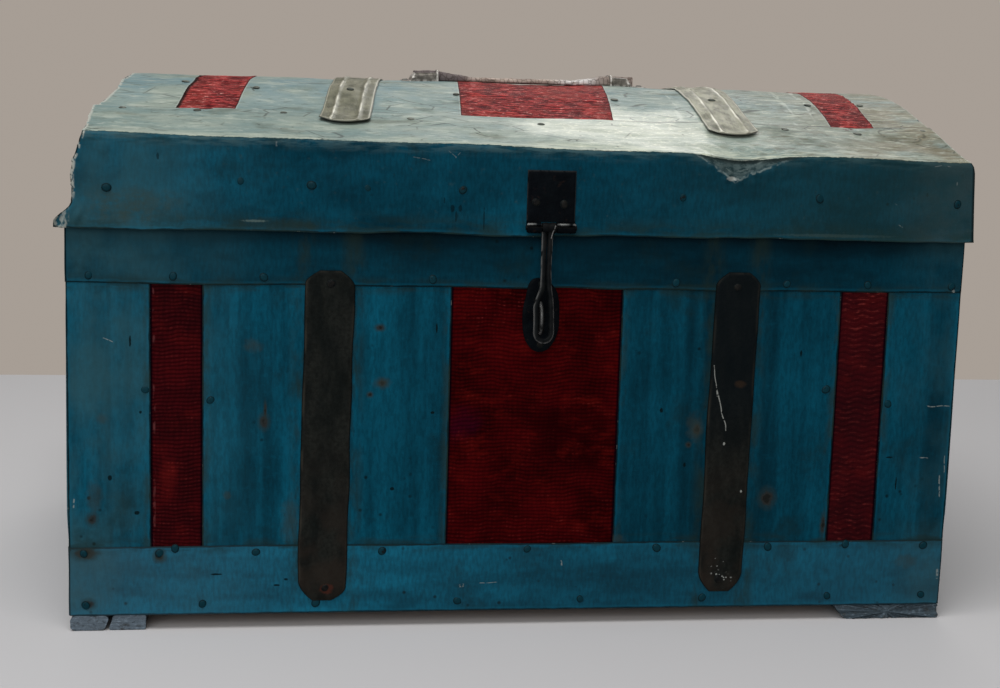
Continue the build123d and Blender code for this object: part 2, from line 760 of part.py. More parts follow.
with BuildPart() as body_nails:
    for x in top_row_x:
        nail((x, front, top_row), (0, -1, 0))
    for x in middle_row_x:
        nail((x, wood_front - tin, middle_row), (0, -1, 0))
    for x in band_row_x:
        nail((x, front, band_row), (0, -1, 0))
    for x in foot_row_x:
        nail((x, front, foot_row), (0, -1, 0))
    for centre, lean, _, top_drop, bottom_rise in front_straps.values():
        nail((centre - lean, front - strap_thickness, base + bottom_rise + strap_clip), (0, -1, 0))
        nail((centre, front - strap_thickness, rim - top_drop - strap_clip), (0, -1, 0))
    for share in side_row_shares:
        for z in (top_row, band_row):
            nail((left, body_centre_y + share * body_depth, z), (-1, 0, 0))
            nail((right, body_centre_y + share * body_depth, z), (1, 0, 0))
    for share in back_row_shares:
        for z in (top_row, band_row):
            nail((share * body_width, back, z), (0, 1, 0))
    for centre in (-hinge_x, hinge_x):
        for aside in (-hinge_nail_aside, hinge_nail_aside):
            nail((centre + aside, back + leaf_thickness, hinge_z - hinge_nail_rise), (0, 1, 0))
    for rise in (-staple_nail_rise, staple_nail_rise):
        nail((staple_x, front - staple_plate_thickness, staple_plate_z + rise), (0, -1, 0))
keep(body_nails.part, "body_nails")

skirt_row = lid_wood + skirt_row_rise
lid_top_row = lid_front + band_depth - lid_band_row_inset
lid_upper_row = lid_y - arc_half + lid_upper_row_inset
skirt_row_x = along_front([25, 109], [-146, -110, -48, 99], [107, 17])
back_skirt_row_x = along_front([25], [-100, 0, 100], [25])
lid_top_row_x = along_front([30, 80, 137], [-78, 10], [117, 65, 15])
lid_upper_row_x = along_front([117], [-41, 74], [86, 38])
lid_back_row_x = along_front([35, 110], [-50, 40, 110], [60])


def top_nail(x, y, inset):
    """A nail square to the lid's top."""
    height, angle = surface(y, inset)
    nail((x, y, height), (0, -math.sin(angle), math.cos(angle)), slat_thickness)


with BuildPart() as lid_nails:
    for x in skirt_row_x:
        nail((x, lid_front, skirt_row), (0, -1, 0))
    for x in back_skirt_row_x:
        nail((x, lid_back, skirt_row), (0, 1, 0))
    for x in lid_top_row_x:
        top_nail(x, lid_top_row, 0)
    for x in lid_back_row_x:
        top_nail(x, 2 * lid_y - lid_top_row, 0)
    for x in lid_upper_row_x:
        top_nail(x, lid_upper_row, tin)
        top_nail(x + 2 * arc_half * lid_left_seams[0][1], 2 * lid_y - lid_upper_row, tin)
    for x0, x1, drift in lid_straps.values():
        for y in (lid_upper_row, 2 * lid_y - lid_upper_row):
            top_nail((x0 + x1) / 2 + drift * (y - strap_front), y, -lid_strap_thickness)
    for centre in (-hinge_x, hinge_x):
        for aside in (-hinge_nail_aside, hinge_nail_aside):
            nail((centre + aside, back + leaf_thickness, hinge_z + hinge_nail_rise), (0, 1, 0))
    for x in (hasp_left + plate_nail_inset, hasp_right - plate_nail_inset):
        nail((x, lid_front - hasp_plate_thickness, lid_wood + hasp_plate_top / 2 - hasp_nail_drop), (0, -1, 0))
    for x in (handle_left + nail_head_radius, handle_right - nail_head_radius):
        nail((x, lid_y, saddle + cap_flange), (0, 0, 1), slat_thickness)
keep(lid_nails.part, "lid_nails")
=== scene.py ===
import math

import bpy
import numpy as np
from mathutils import Matrix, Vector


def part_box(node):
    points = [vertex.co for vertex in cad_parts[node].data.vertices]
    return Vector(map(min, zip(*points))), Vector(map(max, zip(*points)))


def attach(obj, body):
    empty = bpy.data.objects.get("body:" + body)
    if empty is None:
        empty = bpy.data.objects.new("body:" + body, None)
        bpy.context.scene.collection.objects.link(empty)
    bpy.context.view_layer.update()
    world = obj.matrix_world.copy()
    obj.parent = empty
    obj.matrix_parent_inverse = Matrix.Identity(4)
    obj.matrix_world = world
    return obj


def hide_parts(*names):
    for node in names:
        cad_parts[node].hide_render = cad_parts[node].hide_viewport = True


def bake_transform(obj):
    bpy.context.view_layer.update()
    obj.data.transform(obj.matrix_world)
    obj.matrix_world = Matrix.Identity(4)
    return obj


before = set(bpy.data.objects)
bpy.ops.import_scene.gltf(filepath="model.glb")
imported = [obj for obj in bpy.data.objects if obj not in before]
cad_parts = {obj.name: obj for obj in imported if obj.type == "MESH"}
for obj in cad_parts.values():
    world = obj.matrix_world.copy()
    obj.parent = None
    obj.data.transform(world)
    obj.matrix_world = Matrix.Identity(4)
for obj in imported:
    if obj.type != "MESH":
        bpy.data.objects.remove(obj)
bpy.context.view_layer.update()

MM = 0.001                    # everything below is in millimetres, until a mesh is made

# --- Camera ------------------------------------------------
CAMERA_PLACE = (-0.1693, -1.2588, 0.3705)
CAMERA_YAW = math.radians(7.91)       # from +Y towards +X
CAMERA_PITCH = math.radians(9.2)      # downwards
CAMERA_ROLL = math.radians(1.72)
FOCAL_PIXELS = 1650
PICTURE_WIDTH = 1000


def stand(thing, place, right, up, back):
    """Puts a camera or a lamp into the scene, at its place and turned to these three directions."""
    turn = Matrix(np.column_stack([right, up, back]).tolist()).to_4x4()
    thing.matrix_world = Matrix.Translation(place) @ turn
    bpy.context.scene.collection.objects.link(thing)


def place_camera():
    """A level camera turned by its yaw and pitch, then rolled about its line of sight."""
    forward = np.array([math.sin(CAMERA_YAW) * math.cos(CAMERA_PITCH),
                        math.cos(CAMERA_YAW) * math.cos(CAMERA_PITCH), -math.sin(CAMERA_PITCH)])
    level = np.array([math.cos(CAMERA_YAW), -math.sin(CAMERA_YAW), 0])
    above = np.cross(level, forward)
    right = level * math.cos(CAMERA_ROLL) + above * math.sin(CAMERA_ROLL)
    up = above * math.cos(CAMERA_ROLL) - level * math.sin(CAMERA_ROLL)
    data = bpy.data.cameras.new("camera")
    data.sensor_width = 36
    data.lens = data.sensor_width * FOCAL_PIXELS / PICTURE_WIDTH
    camera = bpy.data.objects.new("camera", data)
    stand(camera, CAMERA_PLACE, right, up, -forward)
    bpy.context.scene.camera = camera


place_camera()


# --- Materials: how they are written -----------------------
class Wire:
    """A value in a material. Arithmetic on it adds Math nodes."""

    def __init__(self, nodes, socket):
        self.nodes = nodes
        self.socket = socket

    def math(self, operation, first, second=0, clamp=False):
        """The outcome of one Math node."""
        return self.nodes.node("Math", {"operation": operation, "use_clamp": clamp}, {0: first, 1: second})

    def __add__(self, other):
        return self.math("ADD", self, other)

    def __sub__(self, other):
        return self.math("SUBTRACT", self, other)

    def __rsub__(self, other):
        return self.math("SUBTRACT", other, self)

    def __mul__(self, other):
        return self.math("MULTIPLY", self, other)

    def __truediv__(self, other):
        return self.math("DIVIDE", self, other)

    __radd__ = __add__
    __rmul__ = __mul__

    def size(self):
        """The value without its sign."""
        return self.math("ABSOLUTE", self)

    def clip(self):
        """The value, held between 0 and 1."""
        return self.math("ADD", self, 0, clamp=True)

    def most(self, other):
        """The larger of two values."""
        return self.math("MAXIMUM", self, other)

    def least(self, other):
        """The smaller of two values."""
        return self.math("MINIMUM", self, other)

    def wave(self):
        """The value's sine."""
        return self.math("SINE", self)

    def rise(self, low, high):
        """0 below low, 1 above high, smooth between; falls instead where low is above high."""
        if low > high:
            return 1 - self.rise(high, low)
        return self.nodes.node("MapRange", {"interpolation_type": "SMOOTHSTEP"},
                                {"Value": self, "From Min": low, "From Max": high})


class Nodes:
    """A tree of shader nodes."""

    def __init__(self, tree):
        self.tree = tree

    def plug(self, socket, value):
        """Links a wire to an input, or sets the input to a number, a colour or a vector."""
        if isinstance(value, Wire):
            self.tree.links.new(value.socket, socket)
        elif isinstance(value, tuple) and socket.type == "RGBA":
            socket.default_value = (*value, 1)
        else:
            socket.default_value = value

    def node(self, kind, settings=None, inputs=None, output=0):
        """Adds a node of this kind, sets its properties, then its inputs, and gives one output."""
        node = self.tree.nodes.new("ShaderNode" + kind)
        for key, value in (settings or {}).items():
            setattr(node, key, value)
        for key, value in (inputs or {}).items():
            self.plug(node.inputs[key], value)
        return Wire(self, node.outputs[output])

    def mix(self, amount, low, high, mode="MIX"):
        """A colour between two colours."""
        return self.node("Mix", {"data_type": "RGBA", "blend_type": mode, "clamp_factor": True},
                         {0: amount, 6: low, 7: high}, output=2)


class Finish(Nodes):
    """One procedural material, whose pattern reads the piece's place in millimetres."""

    def __init__(self, name):
        self.material = bpy.data.materials.new(name)
        self.material.use_nodes = True
        super().__init__(self.material.node_tree)
        self.shader = self.tree.nodes["Principled BSDF"]
        metres = self.node("TexCoord", output="Object")
        self.place = self.node("VectorMath", {"operation": "SCALE"}, {"Vector": metres, "Scale": 1 / MM})
        self.x, self.y, self.z = (self.node("SeparateXYZ", {}, {0: self.place}, output=i) for i in range(3))
        self.shared = {}
        self.color = None

    def stretched(self, size, seed):
        """The place counted in blotches of one size, or of three along X, Y and Z, moved away by the seed."""
        scale = tuple(1 / s for s in size) if isinstance(size, tuple) else (1 / size,) * 3
        away = (17.3 * seed, 5.1 * seed, 7.9 * seed)
        return self.node("VectorMath", {"operation": "MULTIPLY_ADD"}, {0: self.place, 1: scale, 2: away})

    def noise(self, size, seed, detail=2, rough=0.5, warp=0):
        """Cloudy noise from 0 to 1, with blotches of this size, or of three sizes along X, Y and Z."""
        return self.node("TexNoise", {}, {"Vector": self.stretched(size, seed), "Scale": 1, "Detail": detail,
                                          "Roughness": rough, "Distortion": warp})

    def ragged(self, size, detail):
        """Noise that all of this material's small marks share, since each of them reads it somewhere else."""
        size = 1.5 ** round(math.log(size, 1.5))
        if (size, detail) not in self.shared:
            inputs = {"Vector": self.place, "Scale": 1 / size, "Detail": detail}
            self.shared[size, detail] = self.node("TexNoise", {}, inputs)
        return self.shared[size, detail]

    def cells(self, size, seed, feature="DISTANCE_TO_EDGE"):
        """Distance from the edges, or from the middles, of cells of this size."""
        place = self.stretched(size, seed)
        return self.node("TexVoronoi", {"feature": feature}, {"Vector": place, "Scale": 1})

    def lay(self, amount, tone, mode="MIX"):
        """Lays a colour over what the finish has so far, as far as amount goes."""
        self.color = self.mix(amount, self.color, tone, mode)

    def attribute(self, name):
        """A value that the piece's mesh carries at each of its points."""
        return self.node("Attribute", {"attribute_name": name}, output="Fac")

    def reach(self, x, z, half_width, half_height):
        """How far out from a place on the front: below 1 on a ragged spot of this size, above 1 round it."""
        aside = (self.x - x) / half_width
        above = (self.z - z) / half_height
        ragged = self.ragged(0.7 * min(half_width, half_height) + 0.8, 3)
        return aside * aside + above * above + 1.6 * (ragged - 0.5)

    def spot(self, x, z, half_width, half_height, soft=0.6):
        """1 on a ragged spot at a place on the front, 0 round it."""
        return self.reach(x, z, half_width, half_height).rise(1.15, 1.15 - soft)

    def spot_top(self, x, y, half_x, half_y, seed=1):
        """1 on a soft spot at a place on the lid's top, 0 round it."""
        aside = (self.x - x) / half_x
        behind = (self.y - y) / half_y
        ragged = self.noise(0.4 * min(half_x, half_y) + 0.8, seed, 3)
        return (aside * aside + behind * behind + 1.6 * (ragged - 0.5)).rise(1.15, 0)

    def scratch(self, start, end, half_width):
        """1 on a broken, slightly wavering line between two places on the front."""
        run = math.dist(start, end)
        step = ((end[0] - start[0]) / run, (end[1] - start[1]) / run)
        along = (self.x - start[0]) * step[0] + (self.z - start[1]) * step[1]
        waver = (self.ragged(14, 1) - 0.5) * 5
        across = ((self.z - start[1]) * step[0] - (self.x - start[0]) * step[1] + waver).size()
        broken = self.ragged(2.6, 2).rise(0.4, 0.52)
        line = across.rise(half_width * 1.5, half_width * 0.4)
        return line * along.rise(-0.5, 0.5) * along.rise(run + 0.5, run - 0.5) * broken

    def scratches(self, lines, strength, bare=0):
        """Bare metal on all of these scratches, added to what is bare already."""
        for line in lines:
            bare = self.scratch(*line) * strength + bare
        return bare

    def wear(self, coat, specular=0.03, sheen_roughness=0.3):
        """Gives the shader what the surface's topmost layer looks like."""
        sockets = self.shader.inputs
        bump = self.node("Bump", {}, {"Height": coat.relief * MM, "Distance": 1, "Strength": 1})
        names = ("Base Color", "Roughness", "Metallic", "Coat Weight", "Normal")
        for name, value in zip(names, (coat.color, coat.roughness, coat.metal, coat.sheen, bump)):
            self.plug(sockets[name], value)
        sockets["Specular IOR Level"].default_value = specular
        sockets["Coat Roughness"].default_value = sheen_roughness
        return self.material


# --- Materials: this chest's finishes ----------------------
RUST = (0.021, 0.018, 0.015)
RUST_HALO = (0.016, 0.026, 0.026)
GRIME = (0.005, 0.013, 0.013)
DARK_NICK = (0.001, 0.004, 0.0045)
BARE_TIN = (0.3, 0.32, 0.3)
BARE_IRON_AND_GLINT = (0.3, 0.31, 0.3)
WIRE_SHINE = (0.17, 0.17, 0.165)
RUBBED_PALE = (0.52, 0.55, 0.5)
SEAM_DARKENING = (0.034, 0.044, 0.04)
SEAM_DARK = (0.0008, 0.005, 0.0065)
LID_FRONT_Y = -189            # the skirt's face
STRAP_EDGES = (-151, -118, 124.5, 155.5)
RED_EDGES = (-249, -214.5, -53, 62, 213.5, 248)
TEAL_DEEP = (0.0003, 0.018, 0.03)
TEAL_LIGHT = (0.0014, 0.058, 0.096)

# Marks: a middle along X and up Z, and half a width and a height; a scratch has two ends and half a width.
RUST_SPOTS = [
    (-175.3, 141.5, 2.8, 4.2), (-174.5, 149.5, 0.8, 4.5), (169.6, 88.5, 4.4, 5.5), (117.5, 136.5, 2.6, 3.6),
    (112, 126, 1.6, 1.6), (-286.4, 76, 2.8, 3.4), (-291, 53, 6.5, 3.4), (-243, 51.5, 3, 3.6),
    (-289, 18.5, 3.4, 2.8), (-98, 168, 2.4, 2), (-106, 160, 1.6, 1.6), (-100, 205, 2.6, 1.8),
    (211, 69, 1.6, 6),
]
FAINT_STAINS = [
    (-183, 192, 7, 6), (-279, 143, 5, 5), (-199, 92, 3, 3), (272.8, 42, 9, 6), (-289.5, 52.5, 9, 4.5),
    (116, 138, 7, 12), (-98, 168, 7, 5), (-285, 92, 6, 14), (-158, 75, 7, 20), (-243, 50, 6, 5),
    (60, 60, 14, 4),
]
DARK_NICKS = [
    (-261.3, 195, 0.7, 4), (-274.7, 104.1, 1.5, 1.8), (-257.5, 80.4, 1.8, 1.4), (-62.5, 205, 0.7, 3.4),
    (43.5, 138, 1.1, 2.2), (256, 117, 2.6, 0.6), (-206, 38, 4, 0.7), (110, 112, 0.9, 1.7),
    (-166, 30, 2.4, 0.7), (-90, 96, 1.6, 1.2), (148, 60, 0.9, 3.4), (-255, 148, 1, 1), (92, 150, 1.2, 1.8),
    (188, 190, 0.8, 2.4), (-160, 34, 1.6, 0.8), (-150, 41, 1.3, 0.7), (262, 98, 0.6, 5), (-64, 148, 1.4, 1),
]
PALE_SCRATCHES = [
    ((280.6, 153.4), (297, 153.7), 0.3), ((-278, 197.5), (-271.5, 194.5), 0.28),
    ((293.6, 104), (294.3, 88), 0.45), ((277.5, 116), (284, 115.8), 0.45), ((294.3, 235), (294, 226), 1),
    ((297, 36), (297, 29), 0.7), ((-43, 28.5), (-40, 28.3), 0.8), ((26.2, 45), (26.8, 41.5), 0.5),
    ((-30, 29.5), (-17, 30), 0.22), ((296.5, 118), (297, 106), 0.3), ((-299, 90), (-299.3, 84), 0.5),
]
SKIRT_NICKS = [
    (-54.5, 285, 1.5, 2.6), (-49.5, 285, 1.2, 2.4), (-52, 279.5, 0.9, 3.6), (-33.7, 278, 0.6, 8),
    (-243, 314.5, 1, 2.4), (-60, 290, 0.5, 2), (268, 300, 0.9, 1.4),
]
SKIRT_SCRATCHES = [
    ((-81, 318), (-70, 315.5), 0.22), ((-58, 322), (-53, 317.5), 0.25), ((-53, 317.5), (-50, 321), 0.22),
    ((-168.3, 325.5), (-168.1, 322.5), 0.6), ((246, 295), (249.5, 292.5), 0.35),
    ((249, 279.5), (252, 277.5), 0.35), ((281, 319.6), (283.5, 319.2), 0.35),
    ((288.3, 309), (288.8, 307), 0.4), ((272, 320), (278, 320.3), 0.3),
]
OVAL_CRACKS = [
    (206, -84, 11, 13), (268, -136, 15, 13), (284, -150, 11, 10), (-225, -150, 9, 8),
]
DENT_X = 133.5                # the dent's lowest point and how steeply its two lower edges climb
DENT_TIP = 306.5
VEE_LEFT = 0.66
VEE_RIGHT = 0.4


def times(tone, share):
    """A colour made darker or lighter."""
    return tuple(share * c for c in tone)


class Coat:
    """What a layer of a surface looks like: its colour, roughness, metal, clear coat and relief in mm."""

    def __init__(self, color, roughness, metal=0, sheen=0, relief=0):
        self.color = color
        self.roughness = roughness
        self.metal = metal
        self.sheen = sheen
        self.relief = relief

    def over(self, f, amount, below):
        """This layer where amount is 1, the one below where it is 0."""
        def between(high, low):
            return amount * high + (1 - amount) * low
        return Coat(f.mix(amount, below.color, self.color), between(self.roughness, below.roughness),
                    between(self.metal, below.metal), between(self.sheen, below.sheen),
                    between(self.relief, below.relief))


def teal_coat(f, deep, light, streak, marks, edge, shade=None):
    """Teal paint on tin: long soft streaks, mottling, greyed ends, grime in corners, specks and rust."""
    tone = f.noise(streak, 1, 3, 0.55).rise(0.37, 0.63)
    narrow = f.noise(tuple(0.4 * size for size in streak), 17, 3, 0.6).rise(0.38, 0.64)
    cloud = f.noise(64, 2, 3).rise(0.36, 0.64)
    f.color = f.mix(tone * 0.46 + narrow * 0.26 + cloud * 0.28, deep, light)
    weave = f.noise((7, 7, 3), 15, 4, 0.65).rise(0.5, 0.76)
    f.lay(weave * 0.13, times(light, 1.4))
    # The tone is scaled by the piece's shade function; on the bands that is painted light and shade.
    if shade:
        f.lay(1, shade(f), mode="MULTIPLY")
    fine = f.noise((1.9, 1.9, 6), 3, 4, 0.6).rise(0.34, 0.7)
    f.lay(fine * 0.38, times(deep, 0.5))
    ends = f.x.rise(-150, -300) + f.x.rise(235, 310) * 0.8
    haze = ends * f.noise((48, 48, 70), 5, 4, 0.6).rise(0.26, 0.66)
    f.lay((haze * 0.62).clip(), (0.026, 0.074, 0.088))
    grime = f.noise(44, 4, 5, 0.62).rise(0.55, 0.74)
    f.lay(grime * 0.5, GRIME)
    specks = f.cells(12, 6, "F1").rise(0.15, 0.04) * f.noise(85, 7).rise(0.47, 0.6)
    f.lay(specks * 0.8, DARK_NICK)
    border = f.attribute("border")
    bare = f.noise(5, 10, 3).rise(0.66, 0.74) * border.rise(0.8, 0.2) * 0.2
    if edge == "dark":
        wavering = border + (f.noise(9, 16, 3) - 0.5) * 1.4
        f.lay(border.rise(3.2, 1.4) * 0.2, times(light, 1.6))
        f.lay(wavering.rise(1.3, 0.5) * 0.92, SEAM_DARK)
    else:
        f.lay(border.rise(1, 0.4) * f.noise(9, 16, 3).rise(0.35, 0.6) * 0.6, (0.034, 0.09, 0.105))
    if marks:
        bare = bare + marks(f)
    f.lay(bare.clip(), BARE_TIN)
    roughness = f.noise(34, 11, 4).rise(0.2, 0.8) * 0.2 + 0.44 + grime * 0.2
    relief = f.noise(2.8, 12, 4) * 0.12 + f.noise(16, 13, 2) * 0.35
    return Coat(f.color, roughness, bare * 0.6, 0, relief)


def beside(f, edges, reach):
    """1 along any of some upright lines, 0 further away than reach."""
    nearest = (f.x - edges[0]).size()
    for edge in edges[1:]:
        nearest = nearest.least((f.x - edge).size())
    return nearest.rise(reach, 1)


def front_marks(f, on_bands):
    """The body's front: dirt by the straps, reds and bands, rust, nicks and pale scratches."""
    low, high = 57.5, 232.5

    def here(mark):
        """Whether a mark lies on the part that is being painted."""
        height = mark[0][1] if isinstance(mark[0], tuple) else mark[1]
        return (low < height < high) != on_bands

    if on_bands:
        # Painted light: the bottom band lifted towards a paler, greyer teal, most at its left end.
        veil = f.x.rise(-100, -280) * 0.15 + f.x.rise(120, 260) * 0.07 + 0.06
        f.lay((veil * f.z.rise(80, 60)).clip(), (0.06, 0.105, 0.135))

    dirt = beside(f, STRAP_EDGES, 11) * f.noise((12, 12, 34), 23, 4, 0.6).rise(0.4, 0.62)
    f.lay(dirt * 0.62, (0.011, 0.02, 0.016))
    if not on_bands:
        dirt = beside(f, RED_EDGES, 7) * f.noise((10, 10, 26), 28, 4, 0.6).rise(0.44, 0.64)
        f.lay(dirt * 0.55, (0.015, 0.025, 0.019))
    for height in (low, high):
        above = (f.z - height).size().rise(8, 0)
        dirt = above * f.noise((22, 22, 5), 21, 4).rise(0.42, 0.62)
        f.lay(dirt * 0.55, (0.01, 0.019, 0.016))
    for mark in filter(here, RUST_SPOTS):
        out = f.reach(*mark)
        f.lay(out.rise(3.8, 0.6) * 0.55, RUST_HALO)
        f.lay(out.rise(1.3, 0.4) * 0.75, RUST)
        f.lay(out.rise(0.4, 0.05) * 0.8, (0.007, 0.008, 0.007))
    for mark in filter(here, FAINT_STAINS):
        f.lay(f.spot(*mark, soft=1.2) * 0.45, (0.026, 0.032, 0.026))
    for mark in filter(here, DARK_NICKS):
        f.lay(f.spot(*mark) * 0.9, DARK_NICK)
    return f.scratches(filter(here, PALE_SCRATCHES), 0.5)


def sheet_marks(f):
    """The marks on the front's sheets."""
    return front_marks(f, False)


def band_marks(f):
    """The marks on the body's two bands."""
    return front_marks(f, True)


def skirt_marks(f):
    """The lid's skirt: grime at the lip and under the fold, a grey patch, scratches and torn paint."""
    lip = 268
    low = (f.z - lip).rise(17, 0.5) * f.noise((30, 30, 8), 24, 5, 0.6).rise(0.38, 0.6)
    f.lay(low * 0.62, (0.01, 0.022, 0.019))
    high = f.z.rise(318, 326) * f.noise((26, 26, 6), 29, 5, 0.6).rise(0.42, 0.6)
    f.lay(high * 0.55, (0.01, 0.024, 0.024))
    patch = f.spot(-262, 283, 40, 15, soft=1.3) * f.noise((9, 9, 6), 70, 4, 0.65).rise(0.3, 0.64)
    f.lay(patch * 0.75, (0.026, 0.043, 0.039))
    stain = f.spot(-168, 272.5, 34, 5, soft=1.2)
    f.lay(stain * 0.6, (0.012, 0.021, 0.017))
    under_fold = f.attribute("below").rise(9, 0) * f.noise((22, 22, 4), 35, 5, 0.65).rise(0.4, 0.62)
    f.lay(under_fold * 0.55, (0.055, 0.105, 0.115))
    smear = f.spot(-182, 274.4, 9, 0.9, soft=0.9) * 0.5 + f.spot(205, 271.3, 45, 1.3, soft=1) * 0.22
    f.lay(smear.clip(), (0.1, 0.14, 0.13))
    for mark in SKIRT_NICKS:
        f.lay(f.spot(*mark) * 0.6, DARK_NICK)
    right = f.x.rise(10, 240) * 0.5
    f.lay(right, (0.0095, 0.0265, 0.0255))
    veil = f.x.rise(225, 300) * f.noise((40, 40, 22), 67, 4, 0.6).rise(0.3, 0.66)
    f.lay(veil * 0.5, (0.03, 0.046, 0.048))
    right_edge = (f.x + (f.z - lip) * 0.053).rise(301, 302.6)
    f.lay(right_edge * 0.8, (0.0035, 0.007, 0.0078))
    return f.scratches(SKIRT_SCRATCHES, 0.22, torn_dent(f))


def torn_dent(f):
    """The three-cornered dent: greyed paint in it, a painted shadow under the fold, painted highlights along
    its creases, and its tip rubbed to bare tin.
    """
    beside_tip = ((DENT_X - f.x) * VEE_LEFT).most((f.x - DENT_X) * VEE_RIGHT)
    vee = f.z - DENT_TIP - beside_tip + (f.noise(6, 165, 4, 0.6) - 0.5) * 5
    inside = vee.rise(-0.4, 2)
    grey = f.mix(f.noise((5, 5, 3), 166, 4, 0.65).rise(0.4, 0.6), (0.016, 0.03, 0.031), (0.056, 0.08, 0.078))
    f.lay(inside * 0.85, grey)
    # Painted shadow under the fold.
    under = f.attribute("below").rise(3.2, 0.6) * (f.x - DENT_X - 8).size().rise(44, 26)
    f.lay(under * 0.85, (0.006, 0.01, 0.01))
    # Painted highlights: pale lines along the creases, where their edges catch the light.
    near = (f.x - DENT_X - 4).size().rise(38, 22)
    crease = vee.size().rise(1.2, 0.2) * near * f.noise(4, 167, 3).rise(0.36, 0.54)
    f.lay(crease * 0.8, (0.12, 0.155, 0.15))
    second = (vee - 5).size().rise(0.8, 0.1) * near * f.noise(6, 168, 3).rise(0.46, 0.58)
    f.lay(second * 0.6, (0.09, 0.12, 0.115))
    return f.spot(DENT_X - 1.5, DENT_TIP + 1.5, 4.2, 1.7, soft=1) * 0.8


def pale_coat(f):
    """The lid's top: pale sage, partly worn, dusty paint and partly a painted reflection; blue by the crown,
    brushed right of the middle, with a painted highlight there, olive and cracked towards the right, with
    stains."""
    cloud = f.noise((70, 30, 30), 31, 5, 0.6).rise(0.36, 0.64)
    # Partly painted reflection: the sage base stands for worn, dusty paint together with the pale room
    # reflected in it.
    f.color = f.mix(cloud, (0.15, 0.215, 0.205), (0.245, 0.29, 0.25))
    crown = f.y.rise(-150, -70) * f.noise((46, 60, 60), 32, 3).rise(0.4, 0.6) * (1 - f.x.rise(40, 90) * 0.6)
    f.lay(crown * 0.55, (0.125, 0.225, 0.265))
    right = f.x.rise(150, 280) * f.noise((50, 26, 26), 47, 4, 0.6).rise(0.3, 0.58)
    f.lay(right * 0.88, (0.172, 0.15, 0.095))
    brushed = f.x.rise(-60, 40) * f.x.rise(240, 165)
    rubbed = f.noise((24, 8, 8), 33, 6, 0.66).rise(0.51, 0.68)
    f.lay(rubbed * 0.6, (0.4, 0.44, 0.38))
    grain = f.noise((13, 1.3, 1.3), 48, 4, 0.65)
    f.lay(grain.rise(0.54, 0.7) * (brushed * 0.5 + 0.1), (0.5, 0.52, 0.44))
    f.lay(grain.rise(0.46, 0.32) * (brushed * 0.45 + 0.2), (0.07, 0.095, 0.085))
    mottle = f.noise((9, 5, 5), 59, 5, 0.68)
    f.lay(mottle.rise(0.44, 0.3) * 0.55, (0.085, 0.105, 0.088))
    f.lay(mottle.rise(0.56, 0.7) * 0.45, (0.42, 0.45, 0.4))
    stain = f.noise((44, 20, 20), 34, 5, 0.62).rise(0.53, 0.68)
    f.lay(stain * 0.5, (0.105, 0.112, 0.084))
    front_edge = f.y.rise(LID_FRONT_Y + 16, LID_FRONT_Y + 5)
    # Painted highlight: a pale, ragged line on the top just behind the fold, brightest right of the middle.
    painted_fold_highlight = front_edge * f.noise((26, 3, 3), 49, 4, 0.6).rise(0.4, 0.58)
    f.lay(painted_fold_highlight * (brushed * 0.5 + 0.3), (0.5, 0.53, 0.42))
    # Painted highlight: a pale, flecked patch right of the middle of the front slope, where a lamp is
    # reflected; the coat is glossier there too.
    painted_highlight_zone = f.spot_top(74, -142, 92, 60, 50)
    f.lay(painted_highlight_zone * 0.5, (0.52, 0.55, 0.45))
    # These flecks are part of the painted highlight.
    flecks = f.noise((5, 1.8, 1.8), 51, 4, 0.7).rise(0.54, 0.64) * painted_highlight_zone
    f.lay(flecks * 0.8, (0.68, 0.7, 0.56))
    old = f.x.rise(120, 180)
    blotch = f.noise((15, 5, 5), 61, 5, 0.7)
    f.lay(blotch.rise(0.5, 0.36) * old * 0.6, (0.105, 0.092, 0.056))
    f.lay(blotch.rise(0.54, 0.68) * old * 0.55, (0.5, 0.5, 0.4))
    cracks = f.cells((31, 12, 12), 52).rise(0.03, 0.006) * f.noise(40, 53, 2).rise(0.5, 0.6)
    f.lay(cracks * 0.75, (0.045, 0.055, 0.05))
    for index, (x, y, half_x, half_y) in enumerate(OVAL_CRACKS):
        aside, behind = (f.x - x) / half_x, (f.y - y) / half_y
        waver = f.noise(9, index + 240, 2) - 0.5
        oval = (aside * aside + behind * behind - 1 + waver).size().rise(0.2, 0.05)
        f.lay(oval * f.noise(9, index + 250, 2).rise(0.44, 0.52) * 0.6, (0.055, 0.055, 0.042))
    specks = f.cells(10, 36, "F1").rise(0.13, 0.05) * f.noise(60, 37).rise(0.45, 0.58)
    f.lay(specks * 0.7, (0.04, 0.045, 0.038))
    for place in (-10, 112, 196, 212):
        slant = (f.x - place - (f.y + 125) * 0.1).size()
        streak = slant.rise(3, 0.6) * f.y.rise(-128, -110) * f.noise((6, 22, 22), 54, 3).rise(0.44, 0.58)
        f.lay(streak * 0.5, (0.52, 0.56, 0.5))
    # Metal where the paint is rubbed, and under the painted highlights.
    worn = (rubbed * 0.35 + painted_fold_highlight * 0.3 + flecks * 0.5).clip()
    roughness = f.noise(24, 38, 4).rise(0.3, 0.7) * 0.16 + 0.42 + stain * 0.2
    relief = f.noise((12, 4.4, 4.4), 39, 5, 0.64) * 0.7 + f.noise((40, 14, 14), 55, 3) * 1
    return Coat(f.color, roughness, worn * 0.2, painted_highlight_zone * 0.46 + 0.14 - stain * 0.1, relief + grain * 0.1)


